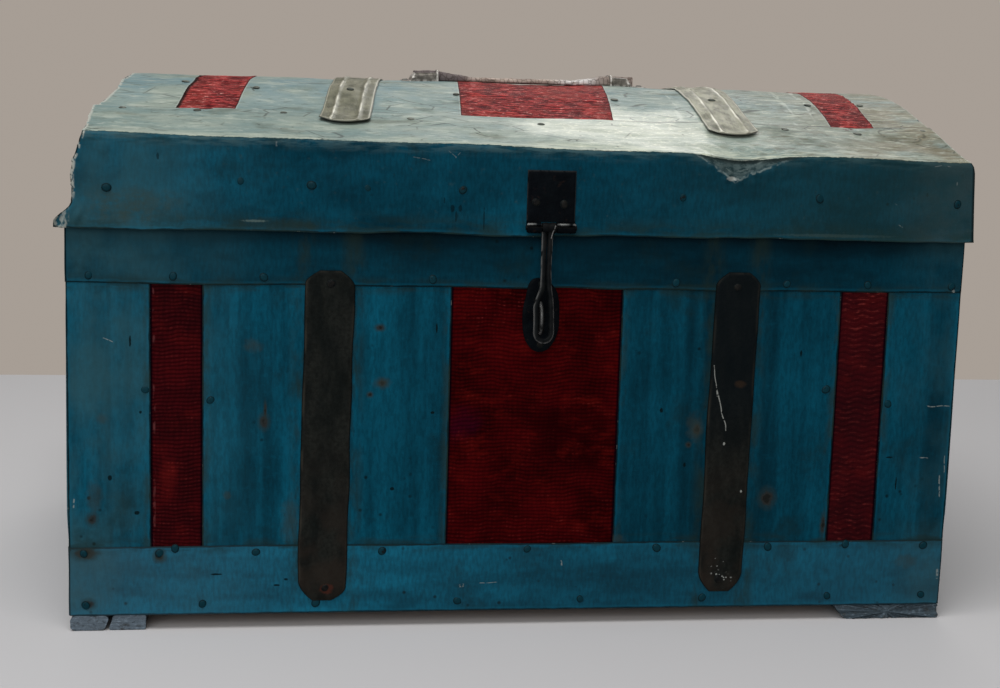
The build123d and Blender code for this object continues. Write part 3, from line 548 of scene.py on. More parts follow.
def top_borders(f, coat, pale_edge=0.8):
    """Cut edges of the lid's sheets: rubbed pale, and darker along the seam and under the band's rear edge.
    """
    edge = f.attribute("border").rise(1.1, 0.3)
    coat.color = f.mix(edge * pale_edge, coat.color, RUBBED_PALE)
    # Darker lines under the band's rear edge and along the seam.
    rear_edge = edge * f.y.rise(-130, -126) * f.y.rise(-121, -123) * f.x.rise(40, 120)
    coat.color = f.mix(rear_edge * 0.8, coat.color, SEAM_DARKENING)
    seam = f.attribute("seam").rise(3.8, 1.4) * f.noise((24, 14, 14), 56, 3).rise(0.24, 0.44)
    coat.color = f.mix(seam * 0.85, coat.color, SEAM_DARKENING)
    rim = f.attribute("rim").rise(2.2, 0.9) * f.noise((3, 6, 6), 57, 3).rise(0.38, 0.52)
    coat.color = f.mix(rim * 0.75, coat.color, (0.5, 0.52, 0.47))
    coat.metal = (rim * 0.4 + coat.metal).clip()
    return coat


def lid_tin():
    """Pale paint on the lid's top sheets, partly a painted reflection."""
    f = Finish("lid_paint")
    return f.wear(top_borders(f, pale_coat(f), 0.25))


def folded_tin(name, marks):
    """Teal paint below the fold, pale paint above it that is partly a painted reflection, with a ragged,
    dirty line between them.
    """
    f = Finish(name)
    teal = teal_coat(f, TEAL_DEEP, TEAL_LIGHT, (90, 90, 44), marks, "dark", skirt_shade)
    rim = f.attribute("rim").rise(2.6, 1.2) * f.z.rise(284, 292) * f.noise((3, 3, 5), 58, 3).rise(0.42, 0.54)
    dark_rim = f.attribute("rim").rise(1.2, 0.6) * f.noise((2, 2, 3.4), 63, 3).rise(0.52, 0.6)
    curl = f.x.rise(-297.5, -300.5) * f.noise((2.6, 2.6, 4), 59, 4).rise(0.42, 0.62) * 0.55
    teal.color = f.mix((rim + curl).clip() * 0.85, teal.color, (0.36, 0.37, 0.33))
    teal.color = f.mix(dark_rim * 0.8, teal.color, (0.01, 0.016, 0.016))
    teal.metal = ((rim + curl) * 0.5 + teal.metal).clip()
    pale = top_borders(f, pale_coat(f), 0.35)
    ragged = f.noise(5, 66, 5, 0.65) - 0.5
    top = (f.attribute("top") + ragged * 1.5).rise(0.36, 0.52)
    dirty_line = (f.attribute("top") + ragged * 0.9 - 0.3).size().rise(0.22, 0.02)
    coat = pale.over(f, top, teal)
    coat.color = f.mix(dirty_line * 0.4, coat.color, (0.03, 0.05, 0.048))
    return f.wear(coat)


def teal_tin(name, deep, light, streak, marks=None, edge="dark", shade=None):
    """Teal paint alone, between its deep and its light tone."""
    f = Finish(name)
    return f.wear(teal_coat(f, deep, light, streak, marks, edge, shade))


def sheet_shade(f):
    """The front's sheets are a little deeper towards the right."""
    return 1.42 - f.x.rise(-260, 170) * 0.44


def band_shade(f):
    """Painted light and shade: the bottom band is lightest, as if lit from the floor; the top band is deep,
    with a painted shadow under the lid's lip.
    """
    # Painted light and shade, not paint: lighter to the left and on the bottom band, deeper on the top band,
    # darkest under the lip.
    across = 1.95 - f.x.rise(-240, 200) * 0.62
    painted_top_band_shade = f.z.rise(100, 200) * 0.62
    painted_lip_shadow = f.z.rise(254, 267) * 0.58
    return across * (1 - painted_top_band_shade) * (1 - painted_lip_shadow)


def skirt_shade(f):
    """The skirt is lightest at its left end."""
    return 0.9 + f.x.rise(-110, -290) * 0.52


def front_red_tin():
    """Red paint over embossed beads: painted shade between them, painted highlights on their tops and a
    painted shadow along the edges; worn orange in patches, purple here and there.
    """
    f = Finish("front_red")
    height = f.attribute("rib")
    patch = f.noise((38, 38, 26), 41, 5, 0.62).rise(0.3, 0.7)
    # Painted shade and light: the beads' low parts deeper, their tops lighter.
    depth = (height * 0.42 + patch * 0.62 - 0.04).clip()
    f.color = f.mix(depth, (0.0105, 0.0006, 0.0009), (0.058, 0.0017, 0.0024))
    darker = f.noise((44, 44, 40), 44, 4, 0.6).rise(0.52, 0.68) * 0.5 + f.spot(38, 135, 34, 34, soft=1.6)
    f.lay((darker * 0.72).clip(), (0.01, 0.0003, 0.0008))
    purple = f.spot(-45, 140, 18, 14, soft=1.4)
    f.lay(purple * 0.6, (0.018, 0.0008, 0.008))
    amber = f.noise((19, 19, 12), 45, 5, 0.66).rise(0.48, 0.74)
    f.lay(amber * 0.5, (0.092, 0.0042, 0.003))
    sides = f.x.rise(205, 212) * 0.42 + f.x.rise(-205, -212) * 0.3
    f.lay(sides.clip(), (0.021, 0.0056, 0.0078))
    # Painted shade between the beads.
    f.lay(height.rise(0.4, 0.1) * (sides * 0.5 + 0.36), (0.008, 0.0006, 0.0012))
    # Painted highlights: pink dashes on the bead tops, brightest in two patches high up and towards the foot.
    dashes = f.noise((9, 9, 1.5), 42, 3, 0.66).rise(0.5, 0.66) * height.rise(0.4, 0.9)
    bright_zone = f.spot(-22, 222, 24, 20, soft=1.2) * 0.9 + f.spot(232, 222, 22, 24, soft=1.2) * 0.5
    foot = f.z.rise(110, 60) * 0.25
    lit = (dashes * (bright_zone + foot + amber * 0.4 + sides * 0.5 + 0.08)).clip()
    f.lay(lit * 0.6, (0.2, 0.03, 0.026))
    ridge = (f.x + 246.3).size().rise(1.2, 0.2) * f.noise((4, 4, 8), 60, 3).rise(0.52, 0.66)
    f.lay(ridge * 0.5, (0.14, 0.04, 0.04))
    blotch = f.spot(-237, 104, 7, 18, soft=1.4)
    f.lay(blotch * 0.5 * (dashes * 0.6 + 0.4), (0.17, 0.01, 0.008))

    border = f.attribute("border")
    # Painted shadow along the edges, where the teal sheets and bands lie over the red.
    f.lay(border.rise(1.9, 0.6) * 0.88, (0.0025, 0.0002, 0.0024))
    relief = f.noise(2.2, 62, 3) * 0.12 + f.noise(7, 43, 3) * 0.3
    return f.wear(Coat(f.color, 0.62 - height * 0.06, lit * 0.1, 0, relief), specular=0)


def lid_red_tin():
    """Red tin on the lid: crumpled ridges along it, painted shade near black in the creases, a painted shadow
    along its edges, flecked with bare metal.
    """
    f = Finish("lid_red")
    height = f.attribute("rib")
    crease = f.noise((6.5, 1.7, 1.7), 141, 4, 0.68)
    patch = f.noise((30, 12, 12), 142, 4, 0.6)
    f.color = f.mix((height * 0.7 + patch * 0.6 - 0.18).clip(), (0.15, 0.013, 0.015), (0.46, 0.07, 0.066))
    # Painted shade: the creases and the low parts of the ridges darkened.
    f.lay(crease.rise(0.5, 0.4) * 0.9, (0.034, 0.003, 0.005))
    f.lay(height.rise(0.4, 0.16) * 0.6, (0.05, 0.004, 0.006))
    orange = f.noise((40, 40, 40), 143, 3).rise(0.46, 0.6)
    f.lay(orange * 0.12, (0.5, 0.085, 0.055))
    flecks = crease.rise(0.56, 0.64) * f.noise((3, 1.6, 1.6), 144, 3, 0.7).rise(0.46, 0.58)
    f.lay(flecks * 0.8, (0.68, 0.34, 0.3))
    seam = f.attribute("seam").rise(1.8, 0.5)
    f.lay(seam * 0.8, (0.05, 0.01, 0.012))
    border = f.attribute("border")
    # Painted shadow along the edges, where the pale sheets lie over the red; deepest along the left panel's
    # left edge.
    f.lay(border.rise(1.3, 0.4) * 0.75, (0.035, 0.008, 0.01))
    lifted = border.rise(3.4, 1.4) * f.x.rise(-208, -214)
    f.lay(lifted * 0.9, (0.006, 0.004, 0.004))
    relief = crease * 1.5 + f.noise((22, 7, 7), 145, 3) * 0.8
    return f.wear(Coat(f.color, 0.5 - flecks * 0.1, flecks * 0.1, 0, relief), specular=0.02)


def dark_strap_tin():
    """Nearly black strap: olive bloom, brown at the left edge and the foot, a long scratch and flakes."""
    f = Finish("dark_strap_tin")
    cloud = f.noise((11, 11, 30), 151, 5, 0.62)
    f.color = f.mix(cloud.rise(0.34, 0.7), (0.0042, 0.0056, 0.0052), (0.013, 0.014, 0.012))
    fine = f.noise(2.4, 152, 4, 0.65).rise(0.36, 0.68)
    f.lay(fine * 0.5, (0.003, 0.0034, 0.003))
    cool = f.x.rise(60, 100) * f.z.rise(100, 170)
    f.lay(cool * 0.8, (0.002, 0.0038, 0.005))
    brown = f.z.rise(150, 25) * f.noise(22, 153, 4).rise(0.34, 0.6)
    f.lay(brown * 0.6, (0.02, 0.0145, 0.011))
    border = f.attribute("border")
    low_left = f.x.rise(126, 124) * f.x.rise(100, 101) + f.x.rise(-147, -149)
    rim = border.rise(2.6, 0.8) * f.noise((7, 7, 26), 154, 4).rise(0.4, 0.62)
    f.lay((rim * (low_left * 0.5 + 0.3)).clip(), (0.03, 0.027, 0.021))
    f.lay(border.rise(0.9, 0.3) * 0.8, (0.0022, 0.003, 0.003))
    f.lay(f.spot(-133, 27.5, 5, 4, soft=0.8) * 0.7, (0.05, 0.014, 0.009))
    f.lay(f.spot(146, 168.5, 4.5, 3, soft=1.1) * 0.45, (0.034, 0.019, 0.01))
    grains = f.cells(2.6, 157, "F1").rise(0.36, 0.24) * f.noise(5, 158, 3).rise(0.46, 0.56)
    flakes = f.spot(139.5, 37, 9, 12, soft=0.7) * grains
    scratch = f.scratch((127, 181.5), (130.2, 160), 0.3).most(f.scratch((129.6, 165), (137.4, 136), 0.36))
    dots = f.spot(136.7, 127, 0.8, 1.2).most(f.spot(150.5, 93.5, 0.8, 1))
    pale = flakes.most(scratch).most(dots)
    f.lay(pale * 0.85, (0.26, 0.27, 0.25))
    relief = f.noise(3.6, 165, 4) * 0.3 + f.noise(22, 166) * 0.6
    return f.wear(Coat(f.color, cloud * 0.2 + 0.42, pale * 0.3, 0, relief))


def worn_strap_tin():
    """The straps on the lid: paint gone, grey-green tin with painted highlights on the beads and dirt beside
    them.
    """
    f = Finish("worn_strap_tin")
    bead = f.attribute("rib")
    cloud = f.noise((13, 26, 13), 171, 4, 0.6)
    f.color = f.mix(cloud.rise(0.36, 0.64), (0.09, 0.094, 0.066), (0.178, 0.178, 0.126))
    grain = f.noise((1.6, 12, 12), 172, 4, 0.65)
    f.lay(grain.rise(0.46, 0.34) * 0.5, (0.055, 0.058, 0.044))
    dirt = f.noise((6, 18, 6), 173, 5, 0.65).rise(0.52, 0.68)
    f.lay(dirt * 0.5, (0.06, 0.063, 0.047))
    rubbed = f.x.rise(60, 125) * f.noise((8, 20, 20), 174, 4, 0.6).rise(0.4, 0.6)
    f.lay(rubbed * 0.6, (0.33, 0.33, 0.245))
    # Painted highlight along the beads.
    f.lay(bead.rise(0.45, 1) * 0.75, (0.56, 0.56, 0.46))
    border = f.attribute("border")
    f.lay(border.rise(1.6, 0.8) * 0.6, (0.5, 0.49, 0.4))
    # Painted shade under the edge: a dark line at its very edge.
    f.lay(border.rise(0.8, 0.3) * 0.75, (0.03, 0.034, 0.03))
    relief = f.noise((8, 18, 8), 175, 4) * 0.5 + grain * 0.12
    bright = bead * 0.3 + 0.15
    return f.wear(Coat(f.color, 0.44 - bead * 0.12 + dirt * 0.2, bright, bright, relief))


def nail_head_iron(name, paint, top_tones, everywhere_iron):
    """Nail heads: painted with what they hold down, a dark ring of dirt and painted shade round each, iron on
    the straps.
    """
    f = Finish(name)
    ring = f.attribute("ring")
    cover = f.noise(4, 181, 3).rise(0.26, 0.4)
    iron = f.mix(f.noise(2.2, 182, 3).rise(0.35, 0.65), (0.003, 0.0036, 0.004), (0.0085, 0.008, 0.007))
    f.color = f.mix(cover, iron, paint)
    if top_tones:
        on_top = f.y.rise(LID_FRONT_Y + 1, LID_FRONT_Y + 6)
        tone = f.mix(f.noise(9, 183, 3).rise(0.46, 0.56), *top_tones)
        f.lay(on_top, tone)
    for x, half_width, low, high in everywhere_iron:
        there = (f.x - x).size().rise(half_width + 1, half_width)
        f.lay(there * f.z.rise(low - 1, low) * f.z.rise(high + 1, high), iron)
    # Dirt and painted shade round the rim of each head.
    f.lay(ring.rise(0.6, 0.95) * 0.76, (0.002, 0.0052, 0.0056))
    relief = f.noise(1.3, 184, 3) * 0.2
    return f.wear(Coat(f.color, 0.56, (1 - cover) * 0.3, 0.06, relief))


def hasp_iron(name, dark, light, rubbed_tone, rub):
    """Blackened iron, polished grey-brown in worn patches, with painted glints where each piece marks them.
    """
    f = Finish(name)
    cloud = f.noise(8, 191, 4, 0.6)
    f.color = f.mix(cloud.rise(0.35, 0.7), dark, light)
    rubbed = f.noise((5, 5, 12), 192, 3).rise(0.6 - rub, 0.74 - rub) * 0.4
    rust = f.noise(4, 193, 4).rise(0.62, 0.75)
    f.lay(rust * 0.4, (0.02, 0.011, 0.008))
    # Painted glints: the lines each piece marks, on knuckles, wires and the plate's edge, laid with the worn
    # patches.
    rubbed = rubbed.most(f.attribute("rub") * f.noise((2.6, 2.6, 7), 196, 3).rise(0.3, 0.52))
    f.lay(rubbed * 0.85, rubbed_tone)
    relief = f.noise(2.2, 194, 4) * 0.2 + f.noise(9, 195) * 0.3
    return f.wear(Coat(f.color, 0.48 - rubbed * 0.16 + rust * 0.2, rubbed * 0.5, 0, relief))


def cap_steel():
    """Pressed steel of the handle's caps: olive-grey tarnish, with painted glints on the rims, the ends and
    the foot.
    """
    f = Finish("cap_steel")
    cloud = f.noise(6, 201, 4, 0.6)
    f.color = f.mix(cloud.rise(0.36, 0.64), (0.06, 0.056, 0.048), (0.15, 0.138, 0.12))
    # Painted glints where the cap's mesh marks them.
    f.lay(f.attribute("rib") * f.noise(3, 202, 3).rise(0.38, 0.54), (0.6, 0.58, 0.54))
    stain = f.noise(4, 203, 4).rise(0.56, 0.7)
    f.lay(stain * 0.7, (0.03, 0.024, 0.02))
    return f.wear(Coat(f.color, 0.4 + stain * 0.2, 0.45 - stain * 0.3, 0.2, f.noise(2, 204, 4) * 0.2))


def strap_hide():
    """Dry leather: dark at the left hump, fading to pale grey-brown, rubbed nearly white at the right."""
    f = Finish("strap_hide")
    cloud = f.noise((20, 7, 4), 211, 4, 0.6)
    f.color = f.mix(cloud.rise(0.35, 0.65), (0.24, 0.185, 0.155), (0.48, 0.395, 0.335))
    hump = f.x.rise(-14, -34)
    f.lay(hump * 0.85, (0.082, 0.068, 0.075))
    under = f.z.rise(367.4, 365.8)
    f.lay(under * 0.6, (0.045, 0.03, 0.026))
    worn = f.x.rise(34, 58) * f.x.rise(84, 66) * f.noise((14, 4, 3), 212, 4).rise(0.3, 0.5)
    f.lay(worn * 0.9, (0.62, 0.6, 0.58))
    right_end = f.x.rise(66, 78)
    f.lay(right_end * 0.6, (0.16, 0.125, 0.11))
    cracks = f.cells((3.4, 8, 5), 213).rise(0.08, 0.02)
    f.lay(cracks * 0.5, (0.04, 0.028, 0.022))
    relief = f.noise(1.6, 214, 4) * 0.25 + cloud * 0.6 - cracks * 0.3
    return f.wear(Coat(f.color, 0.62 - worn * 0.1, 0, 0.05, relief))


def rough_wood(name, pale, dark, paint=None, faded=None):
    """Sawn wood: grain along X, saw marks, dirt, and old paint where there is some."""
    f = Finish(name)
    grain = f.noise((90, 5, 5), 221, 5, 0.6, warp=0.4)
    lines = ((f.y * 0.9 + f.z * 1.1 + grain * 60) * 0.55).wave() * 0.5 + 0.5
    f.color = f.mix((lines * 0.4 + grain * 0.8 - 0.1).clip(), dark, pale)
    dirt = f.noise(34, 222, 4).rise(0.48, 0.7)
    f.lay(dirt * 0.4, times(dark, 0.5))
    if paint:
        tone = f.mix(f.x.rise(-60, 60), faded, paint)
        patch = f.noise((6, 6, 3), 223, 5, 0.65).rise(0.3, 0.5)
        f.lay(patch * 0.9, tone)
        nicks = f.noise((3, 3, 1.8), 226, 4, 0.7)
        f.lay(nicks.rise(0.54, 0.66) * 0.5, times(faded, 1.9))
        f.lay(nicks.rise(0.44, 0.34) * 0.5, times(dark, 0.5))
    relief = lines * 0.25 + f.noise((12, 2, 2), 224, 4) * 0.6 + f.noise(3, 225, 4) * 0.4
    return f.wear(Coat(f.color, 0.84 - grain * 0.1, 0, 0, relief))


def plain_stage(name, color, roughness):
    """The floor's one tone, a little cloudy."""
    f = Finish(name)
    tone = f.noise(420, 231, 3)
    return f.wear(Coat(f.mix(tone * 0.25, color, times(color, 0.95)), roughness))


# --- Places from the frame ---------------------------------
def mm_box(node):
    """Lowest and highest corner of a CAD node, in millimetres."""
    low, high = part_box(node)
    return np.array(low) / MM, np.array(high) / MM


band_low, band_high = mm_box("top_band")
LEFT, RIGHT = band_low[0], band_high[0]
FRONT, BACK = band_low[1], band_high[1]
TOP_BAND, RIM = band_low[2], band_high[2]
BASE, BOTTOM_BAND = mm_box("bottom_band")[0][2], mm_box("bottom_band")[1][2]
TIN = 0.6
LID_FRONT, LIP = mm_box("lid_front_sheet")[0][1:]
LID_BACK = mm_box("lid_back_sheet")[1][1]
BAND_REAR = mm_box("lid_front_sheet")[1][1]
STRAP_THICK = 1.2
CROWN = mm_box("lid_strap_left")[1][2] - STRAP_THICK
LID_RISE = 39.1
FOLD = CROWN - LID_RISE
SLOPE_RUN = 106
LID_Y = (LID_FRONT + LID_BACK) / 2
LID_HALF = (LID_BACK - LID_FRONT) / 2
ARC_HALF = LID_HALF - SLOPE_RUN
LEFT_LIP = mm_box("lid_front_sheet")[0][0]
# The lid's ends: heights, and how far along they lie.
LEFT_OUTLINE = [
    (268, -297.5), (300, -296.8), (309, -296), (318, -293.6), (327, -290.4), (332, -289.3), (338, -288.2),
    (345, -286), (348, -283.2), (351, -280.6), (355, -278.2), (361, -276.9), (366, -273.2),
]
RIGHT_OUTLINE = [
    (268, 303.5), (315, 301), (319, 300.1), (322, 298.4), (324.5, 297), (331, 296), (337, 294.3),
    (345, 293.1), (360, 293.1), (366, 293.6),
]
BAND_LEFT = -289.4            # the front band reaches a little over the arch
LEFT_FLARE = LEFT_LIP - mm_box("lid_left_sheet")[0][0]
LEFT_SWELL = 2.2              # the body's left side bellies out by this much
RIGHT_LIP = mm_box("lid_right_sheet")[1][0]


def barrel_slope():
    """Angle of the straight slopes that the crown's arc joins smoothly."""
    tangent = 0
    for _ in range(30):
        tangent = LID_RISE / (2 * SLOPE_RUN / (1 - tangent**2) + ARC_HALF)
    return 2 * math.atan(tangent)


SLOPE = barrel_slope()
CROWN_RADIUS = ARC_HALF / math.sin(SLOPE)


# --- Shapes shared by several pieces -----------------------
def ripple(x, y, size, seed, waves=10):
    """Uneven relief of about -1 to 1: plane waves in seeded directions, each nearly one size long."""
    draw = np.random.default_rng(seed)
    total = np.zeros(np.broadcast(x, y).shape)
    for turn, phase, stretch in draw.uniform((0, 0, 0.65), (math.tau, math.tau, 1.5), (waves, 3)):
        total += np.sin((x * math.cos(turn) + y * math.sin(turn)) * math.tau / (size * stretch) + phase)
    return total / math.sqrt(waves)


def bell(x, y, middle_x, middle_y, half_x, half_y):
    """A smooth bump, 1 at its middle."""
    return np.exp(-((x - middle_x) / half_x) ** 2 - ((y - middle_y) / half_y) ** 2)


def smooth(value, low, high):
    """0 below low, 1 above high, smooth between."""
    t = np.clip((value - low) / (high - low), 0, 1)
    return t * t * (3 - 2 * t)


def barrel(y):
    """Height of the lid's outer surface: straight slopes and a crown arc."""
    aside = np.abs(y - LID_Y)
    arc = CROWN - CROWN_RADIUS + np.sqrt(CROWN_RADIUS**2 - np.minimum(aside, ARC_HALF) ** 2)
    return arc - np.maximum(aside - ARC_HALF, 0) * math.tan(SLOPE)


FOLD_DROP = 1                 # how much lower than drawn the front fold really is, at the middle
FOLD_TAPER = 0.0108           # and how much it falls towards the right


def dent_depth(x):
    """How far the torn dent lowers the fold: steep on its left side, longer on its right."""
    aside = (x - DENT_X - 3) / np.where(x < DENT_X + 3, 20, 30)
    return 4 * np.exp(-aside ** 2)


def fold_shift(x):
    """How far the front fold lies above its even height: a taper, a waver and a dent."""
    waver = 0.5 * ripple(x, 0, 150, 5, 6)
    return -FOLD_DROP - FOLD_TAPER * x + waver - dent_depth(x)


def lid_height(x, y):
    """Height of the lid's tin: the barrel, the front fold's shift fading backwards, waves and wrinkles."""
    fade = 1 - smooth(y, LID_FRONT, LID_FRONT + 95)
    narrow = 1 - smooth(y, LID_FRONT + 2, LID_FRONT + 24)
    even = -FOLD_DROP - FOLD_TAPER * x
    wrinkles = 0.2 * ripple(x / 3.2, y, 9.5, 8) * (0.6 + 0.4 * ripple(x, y, 120, 9, 5))
    waves = 0.5 * ripple(x, y * 1.6, 95, 7) + wrinkles
    crumple = 0.5 * ripple(x, y, 9, 10) * bell(x, y, DENT_X + 8, LID_FRONT + 10, 30, 18)
    return barrel(y) + even * fade + (fold_shift(x) - even) * narrow + waves + crumple


def band_rear(x):
    """Where the front band ends on the lid's top."""
    return BAND_REAR + 0.7 * ripple(x, 0, 190, 63, 4)


def left_end(z):
    """The lid's left end: nearly upright as far as the fold, then leaning in over the arch."""
    heights, places = np.array(LEFT_OUTLINE).T
    return np.interp(z, heights, places)


def flare(z):
    """How far the left end's foot is bent outwards over the body's corner."""
    return LEFT_FLARE * smooth(z, 284.5, 271.5)


def right_end(z):
    """The lid's right end: leaning in a little, with a rounded corner at the fold."""
    heights, places = np.array(RIGHT_OUTLINE).T
    return np.interp(z, heights, places)


# --- Meshes ------------------------------------------------
class Shell:
    """Points, four-sided and three-sided faces, and per-point values of one closed form."""

    def __init__(self, points, quads, tris=None, **values):
        self.points = np.asarray(points, float).reshape(-1, 3)
        self.quads = np.asarray(quads, int).reshape(-1, 4)
        self.tris = np.zeros((0, 3), int) if tris is None else np.asarray(tris, int).reshape(-1, 3)
        self.values = {name: np.asarray(value, float).reshape(-1) for name, value in values.items()}


def join(shells):
    """Several closed forms as one."""
    starts = np.cumsum([0] + [len(s.points) for s in shells])[:-1]
    names = set().union(*(s.values for s in shells))
    values = {n: np.concatenate([s.values.get(n, np.zeros(len(s.points))) for s in shells]) for n in names}
    return Shell(np.concatenate([s.points for s in shells]),
                 np.concatenate([s.quads + start for s, start in zip(shells, starts)]),
                 np.concatenate([s.tris + start for s, start in zip(shells, starts)]), **values)


def stack(*parts):
    """Points or faces from their parts, each a grid, a row, a column or one number."""
    return np.stack(np.broadcast_arrays(*parts), -1)


def unit(vectors):
    """Vectors of the same directions, one long."""
    return vectors / np.linalg.norm(vectors, axis=-1, keepdims=True)


def travelled(path):
    """Distance along a path from its start to each of its points."""
    return np.concatenate([[0], np.cumsum(np.linalg.norm(np.diff(path, axis=0), axis=1))])


def plate(outer, inner, ring=False, **values):
    """A closed plate between two grids of points. The outer side faces where the first direction of the
    grid, turned towards the second, makes a right-handed screw. A ring closes on itself along the first."""
    grid = outer.shape[:2]
    rows, columns = grid
    number = np.arange(rows * columns).reshape(rows, columns)
    if ring:
        number = np.vstack([number, number[:1]])
    under = number + rows * columns

    def faces(a, b, c, d):
        return stack(a, b, c, d).reshape(-1, 4)

    quads = [faces(number[:-1, :-1], number[1:, :-1], number[1:, 1:], number[:-1, 1:]),
             faces(under[:-1, :-1], under[:-1, 1:], under[1:, 1:], under[1:, :-1]),
             faces(number[:-1, 0], under[:-1, 0], under[1:, 0], number[1:, 0]),
             faces(number[:-1, -1], number[1:, -1], under[1:, -1], under[:-1, -1])]
    if not ring:
        quads += [faces(number[0, :-1], number[0, 1:], under[0, 1:], under[0, :-1]),
                  faces(number[-1, :-1], under[-1, :-1], under[-1, 1:], number[-1, 1:])]
    both = {name: np.tile(np.broadcast_to(value, grid).ravel(), 2) for name, value in values.items()}
    return Shell(np.concatenate([outer.reshape(-1, 3), inner.reshape(-1, 3)]), np.concatenate(quads), **both)


def ringed(rings, ends=None, **values):
    """A closed form of rings of points, each running clockwise seen from the next one's side, with a fan
    of faces on the first and the last ring, round these ends or the rings' own middles."""
    count, sides = rings.shape[:2]
    number = np.arange(count * sides).reshape(count, sides)
    beside = np.roll(number, -1, axis=1)
    quads = stack(number[:-1], beside[:-1], beside[1:], number[1:])
    tip = count * sides
    tris = np.concatenate([stack(tip, beside[0], number[0]), stack(tip + 1, number[-1], beside[-1])])
    ends = rings[[0, -1]].mean(1) if ends is None else ends
    return Shell(np.concatenate([rings.reshape(-1, 3), ends]), quads, tris, **values)


def tube(path, across, radius, sides=14, glint=None):
    """A round wire along a flat path: circles square to it, closed by a cap at each end. The direction
    across is square to the path's plane. Its worn side, with a painted glint, is at the angle glint."""
    path = np.asarray(path, float)
    ahead = unit(np.gradient(path, axis=0))
    across = np.broadcast_to(np.asarray(across, float), path.shape)
    out = np.cross(ahead, across)
    turn = np.linspace(0, math.tau, sides, endpoint=False)[:, None]
    radius = np.broadcast_to(radius, len(path))[:, None, None]
    rings = path[:, None] + radius * (np.cos(turn) * across[:, None] + np.sin(turn) * out[:, None])
    rub = np.zeros(len(path) * sides + 2)
    if glint is not None:
        # Painted glint: a narrow bright band round the wire.
        aside = (turn[:, 0] + glint + math.pi) % math.tau - math.pi
        rub[:-2] = np.tile(np.exp(-(aside / 0.36) ** 2), len(path))
    return ringed(rings, path[[0, -1]], rub=rub)


def make(name, shell, finish, body, replaces=(), crease=38, blend=None):
    """A piece from a closed form: smooth shading with sharp creases, its finish, and what it rides on.
    Without distances from edges and seams of its own, it is far from all of them."""
    for key in ("border", "seam", "rim", "below"):
        shell.values.setdefault(key, np.full(len(shell.points), 99.0))
    mesh = bpy.data.meshes.new(name)
    corners = np.concatenate([shell.quads.ravel(), shell.tris.ravel()])
    totals = np.concatenate([np.full(len(shell.quads), 4), np.full(len(shell.tris), 3)])
    mesh.vertices.add(len(shell.points))
    mesh.vertices.foreach_set("co", (shell.points * MM).ravel())
    mesh.loops.add(len(corners))
    mesh.loops.foreach_set("vertex_index", corners)
    mesh.polygons.add(len(totals))
    mesh.polygons.foreach_set("loop_start", np.cumsum(totals) - totals)
    for key, value in shell.values.items():
        mesh.attributes.new(key, "FLOAT", "POINT").data.foreach_set("value", value)
    mesh.update(calc_edges=True)
    mesh.validate()
    mesh.shade_smooth()
    mesh.set_sharp_from_angle(angle=math.radians(crease))
    mesh.materials.append(finish)
    piece = bpy.data.objects.new(name, mesh)
    bpy.context.scene.collection.objects.link(piece)
    if blend:
        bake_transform(piece)
    else:
        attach(piece, body)
    if replaces:
        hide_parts(*replaces)
    return piece


def spread(low, high, step):
    """Even places from low to high, about a step apart."""
    return np.linspace(low, high, max(2, int(round(abs(high - low) / step)) + 1))


def border_distance(u, v):
    """Distance of each point of a grid from its nearest edge, from places along and across it."""
    return np.minimum(np.minimum(u - u.min(), u.max() - u)[:, None], np.minimum(v - v.min(), v.max() - v))


def block(low, high, step, rough, seed, bevel=1, ragged=0):
    """A sawn block along Y or X: a rounded rectangle carried along its longest side, its skin uneven."""
    low, high = np.array(low, float), np.array(high, float)
    size = high - low
    axis = int(np.argmax(size[:2])) if size[2] < max(size[:2]) else 2
    side_a, side_b = [(1, 2), (2, 0), (0, 1)][axis]
    half_a, half_b = size[side_a] / 2, size[side_b] / 2
    bevel = min(bevel, half_a * 0.9, half_b * 0.9)
    corner = np.radians([0, 30, 60, 90])
    outline = []
    for a_sign, b_sign, start in ((1, 1, 0), (-1, 1, 90), (-1, -1, 180), (1, -1, 270)):
        arc = corner + math.radians(start)
        outline.append(np.column_stack([a_sign * (half_a - bevel) + bevel * np.cos(arc),
                                        b_sign * (half_b - bevel) + bevel * np.sin(arc)]))
    outline = np.concatenate(outline)
    closed = np.vstack([outline, outline[:1]])
    run = travelled(closed)
    ticks = np.unique(np.concatenate([run[:-1], spread(0, run[-1], step)[:-1]]))
    keep = np.concatenate([[True], np.diff(ticks) > 0.15])
    ticks = ticks[keep]
    a = np.interp(ticks, run, closed[:, 0])
    b = np.interp(ticks, run, closed[:, 1])
    along = spread(low[axis], high[axis], step)
    rings = np.zeros((len(along), len(a), 3))
    rings[..., axis] = along[:, None]
    out = unit(stack(a, b))
    shift = -np.abs(rough * ripple(along[:, None] * 0.35, ticks, 11, seed))
    shift = shift - ragged * np.abs(ripple(along[:, None], ticks * 0.7, 26, seed + 1, 6))
    rings[..., side_a] = (low + high)[side_a] / 2 + a + shift * out[:, 0]
    rings[..., side_b] = (low + high)[side_b] / 2 + b + shift * out[:, 1]
    return ringed(rings)


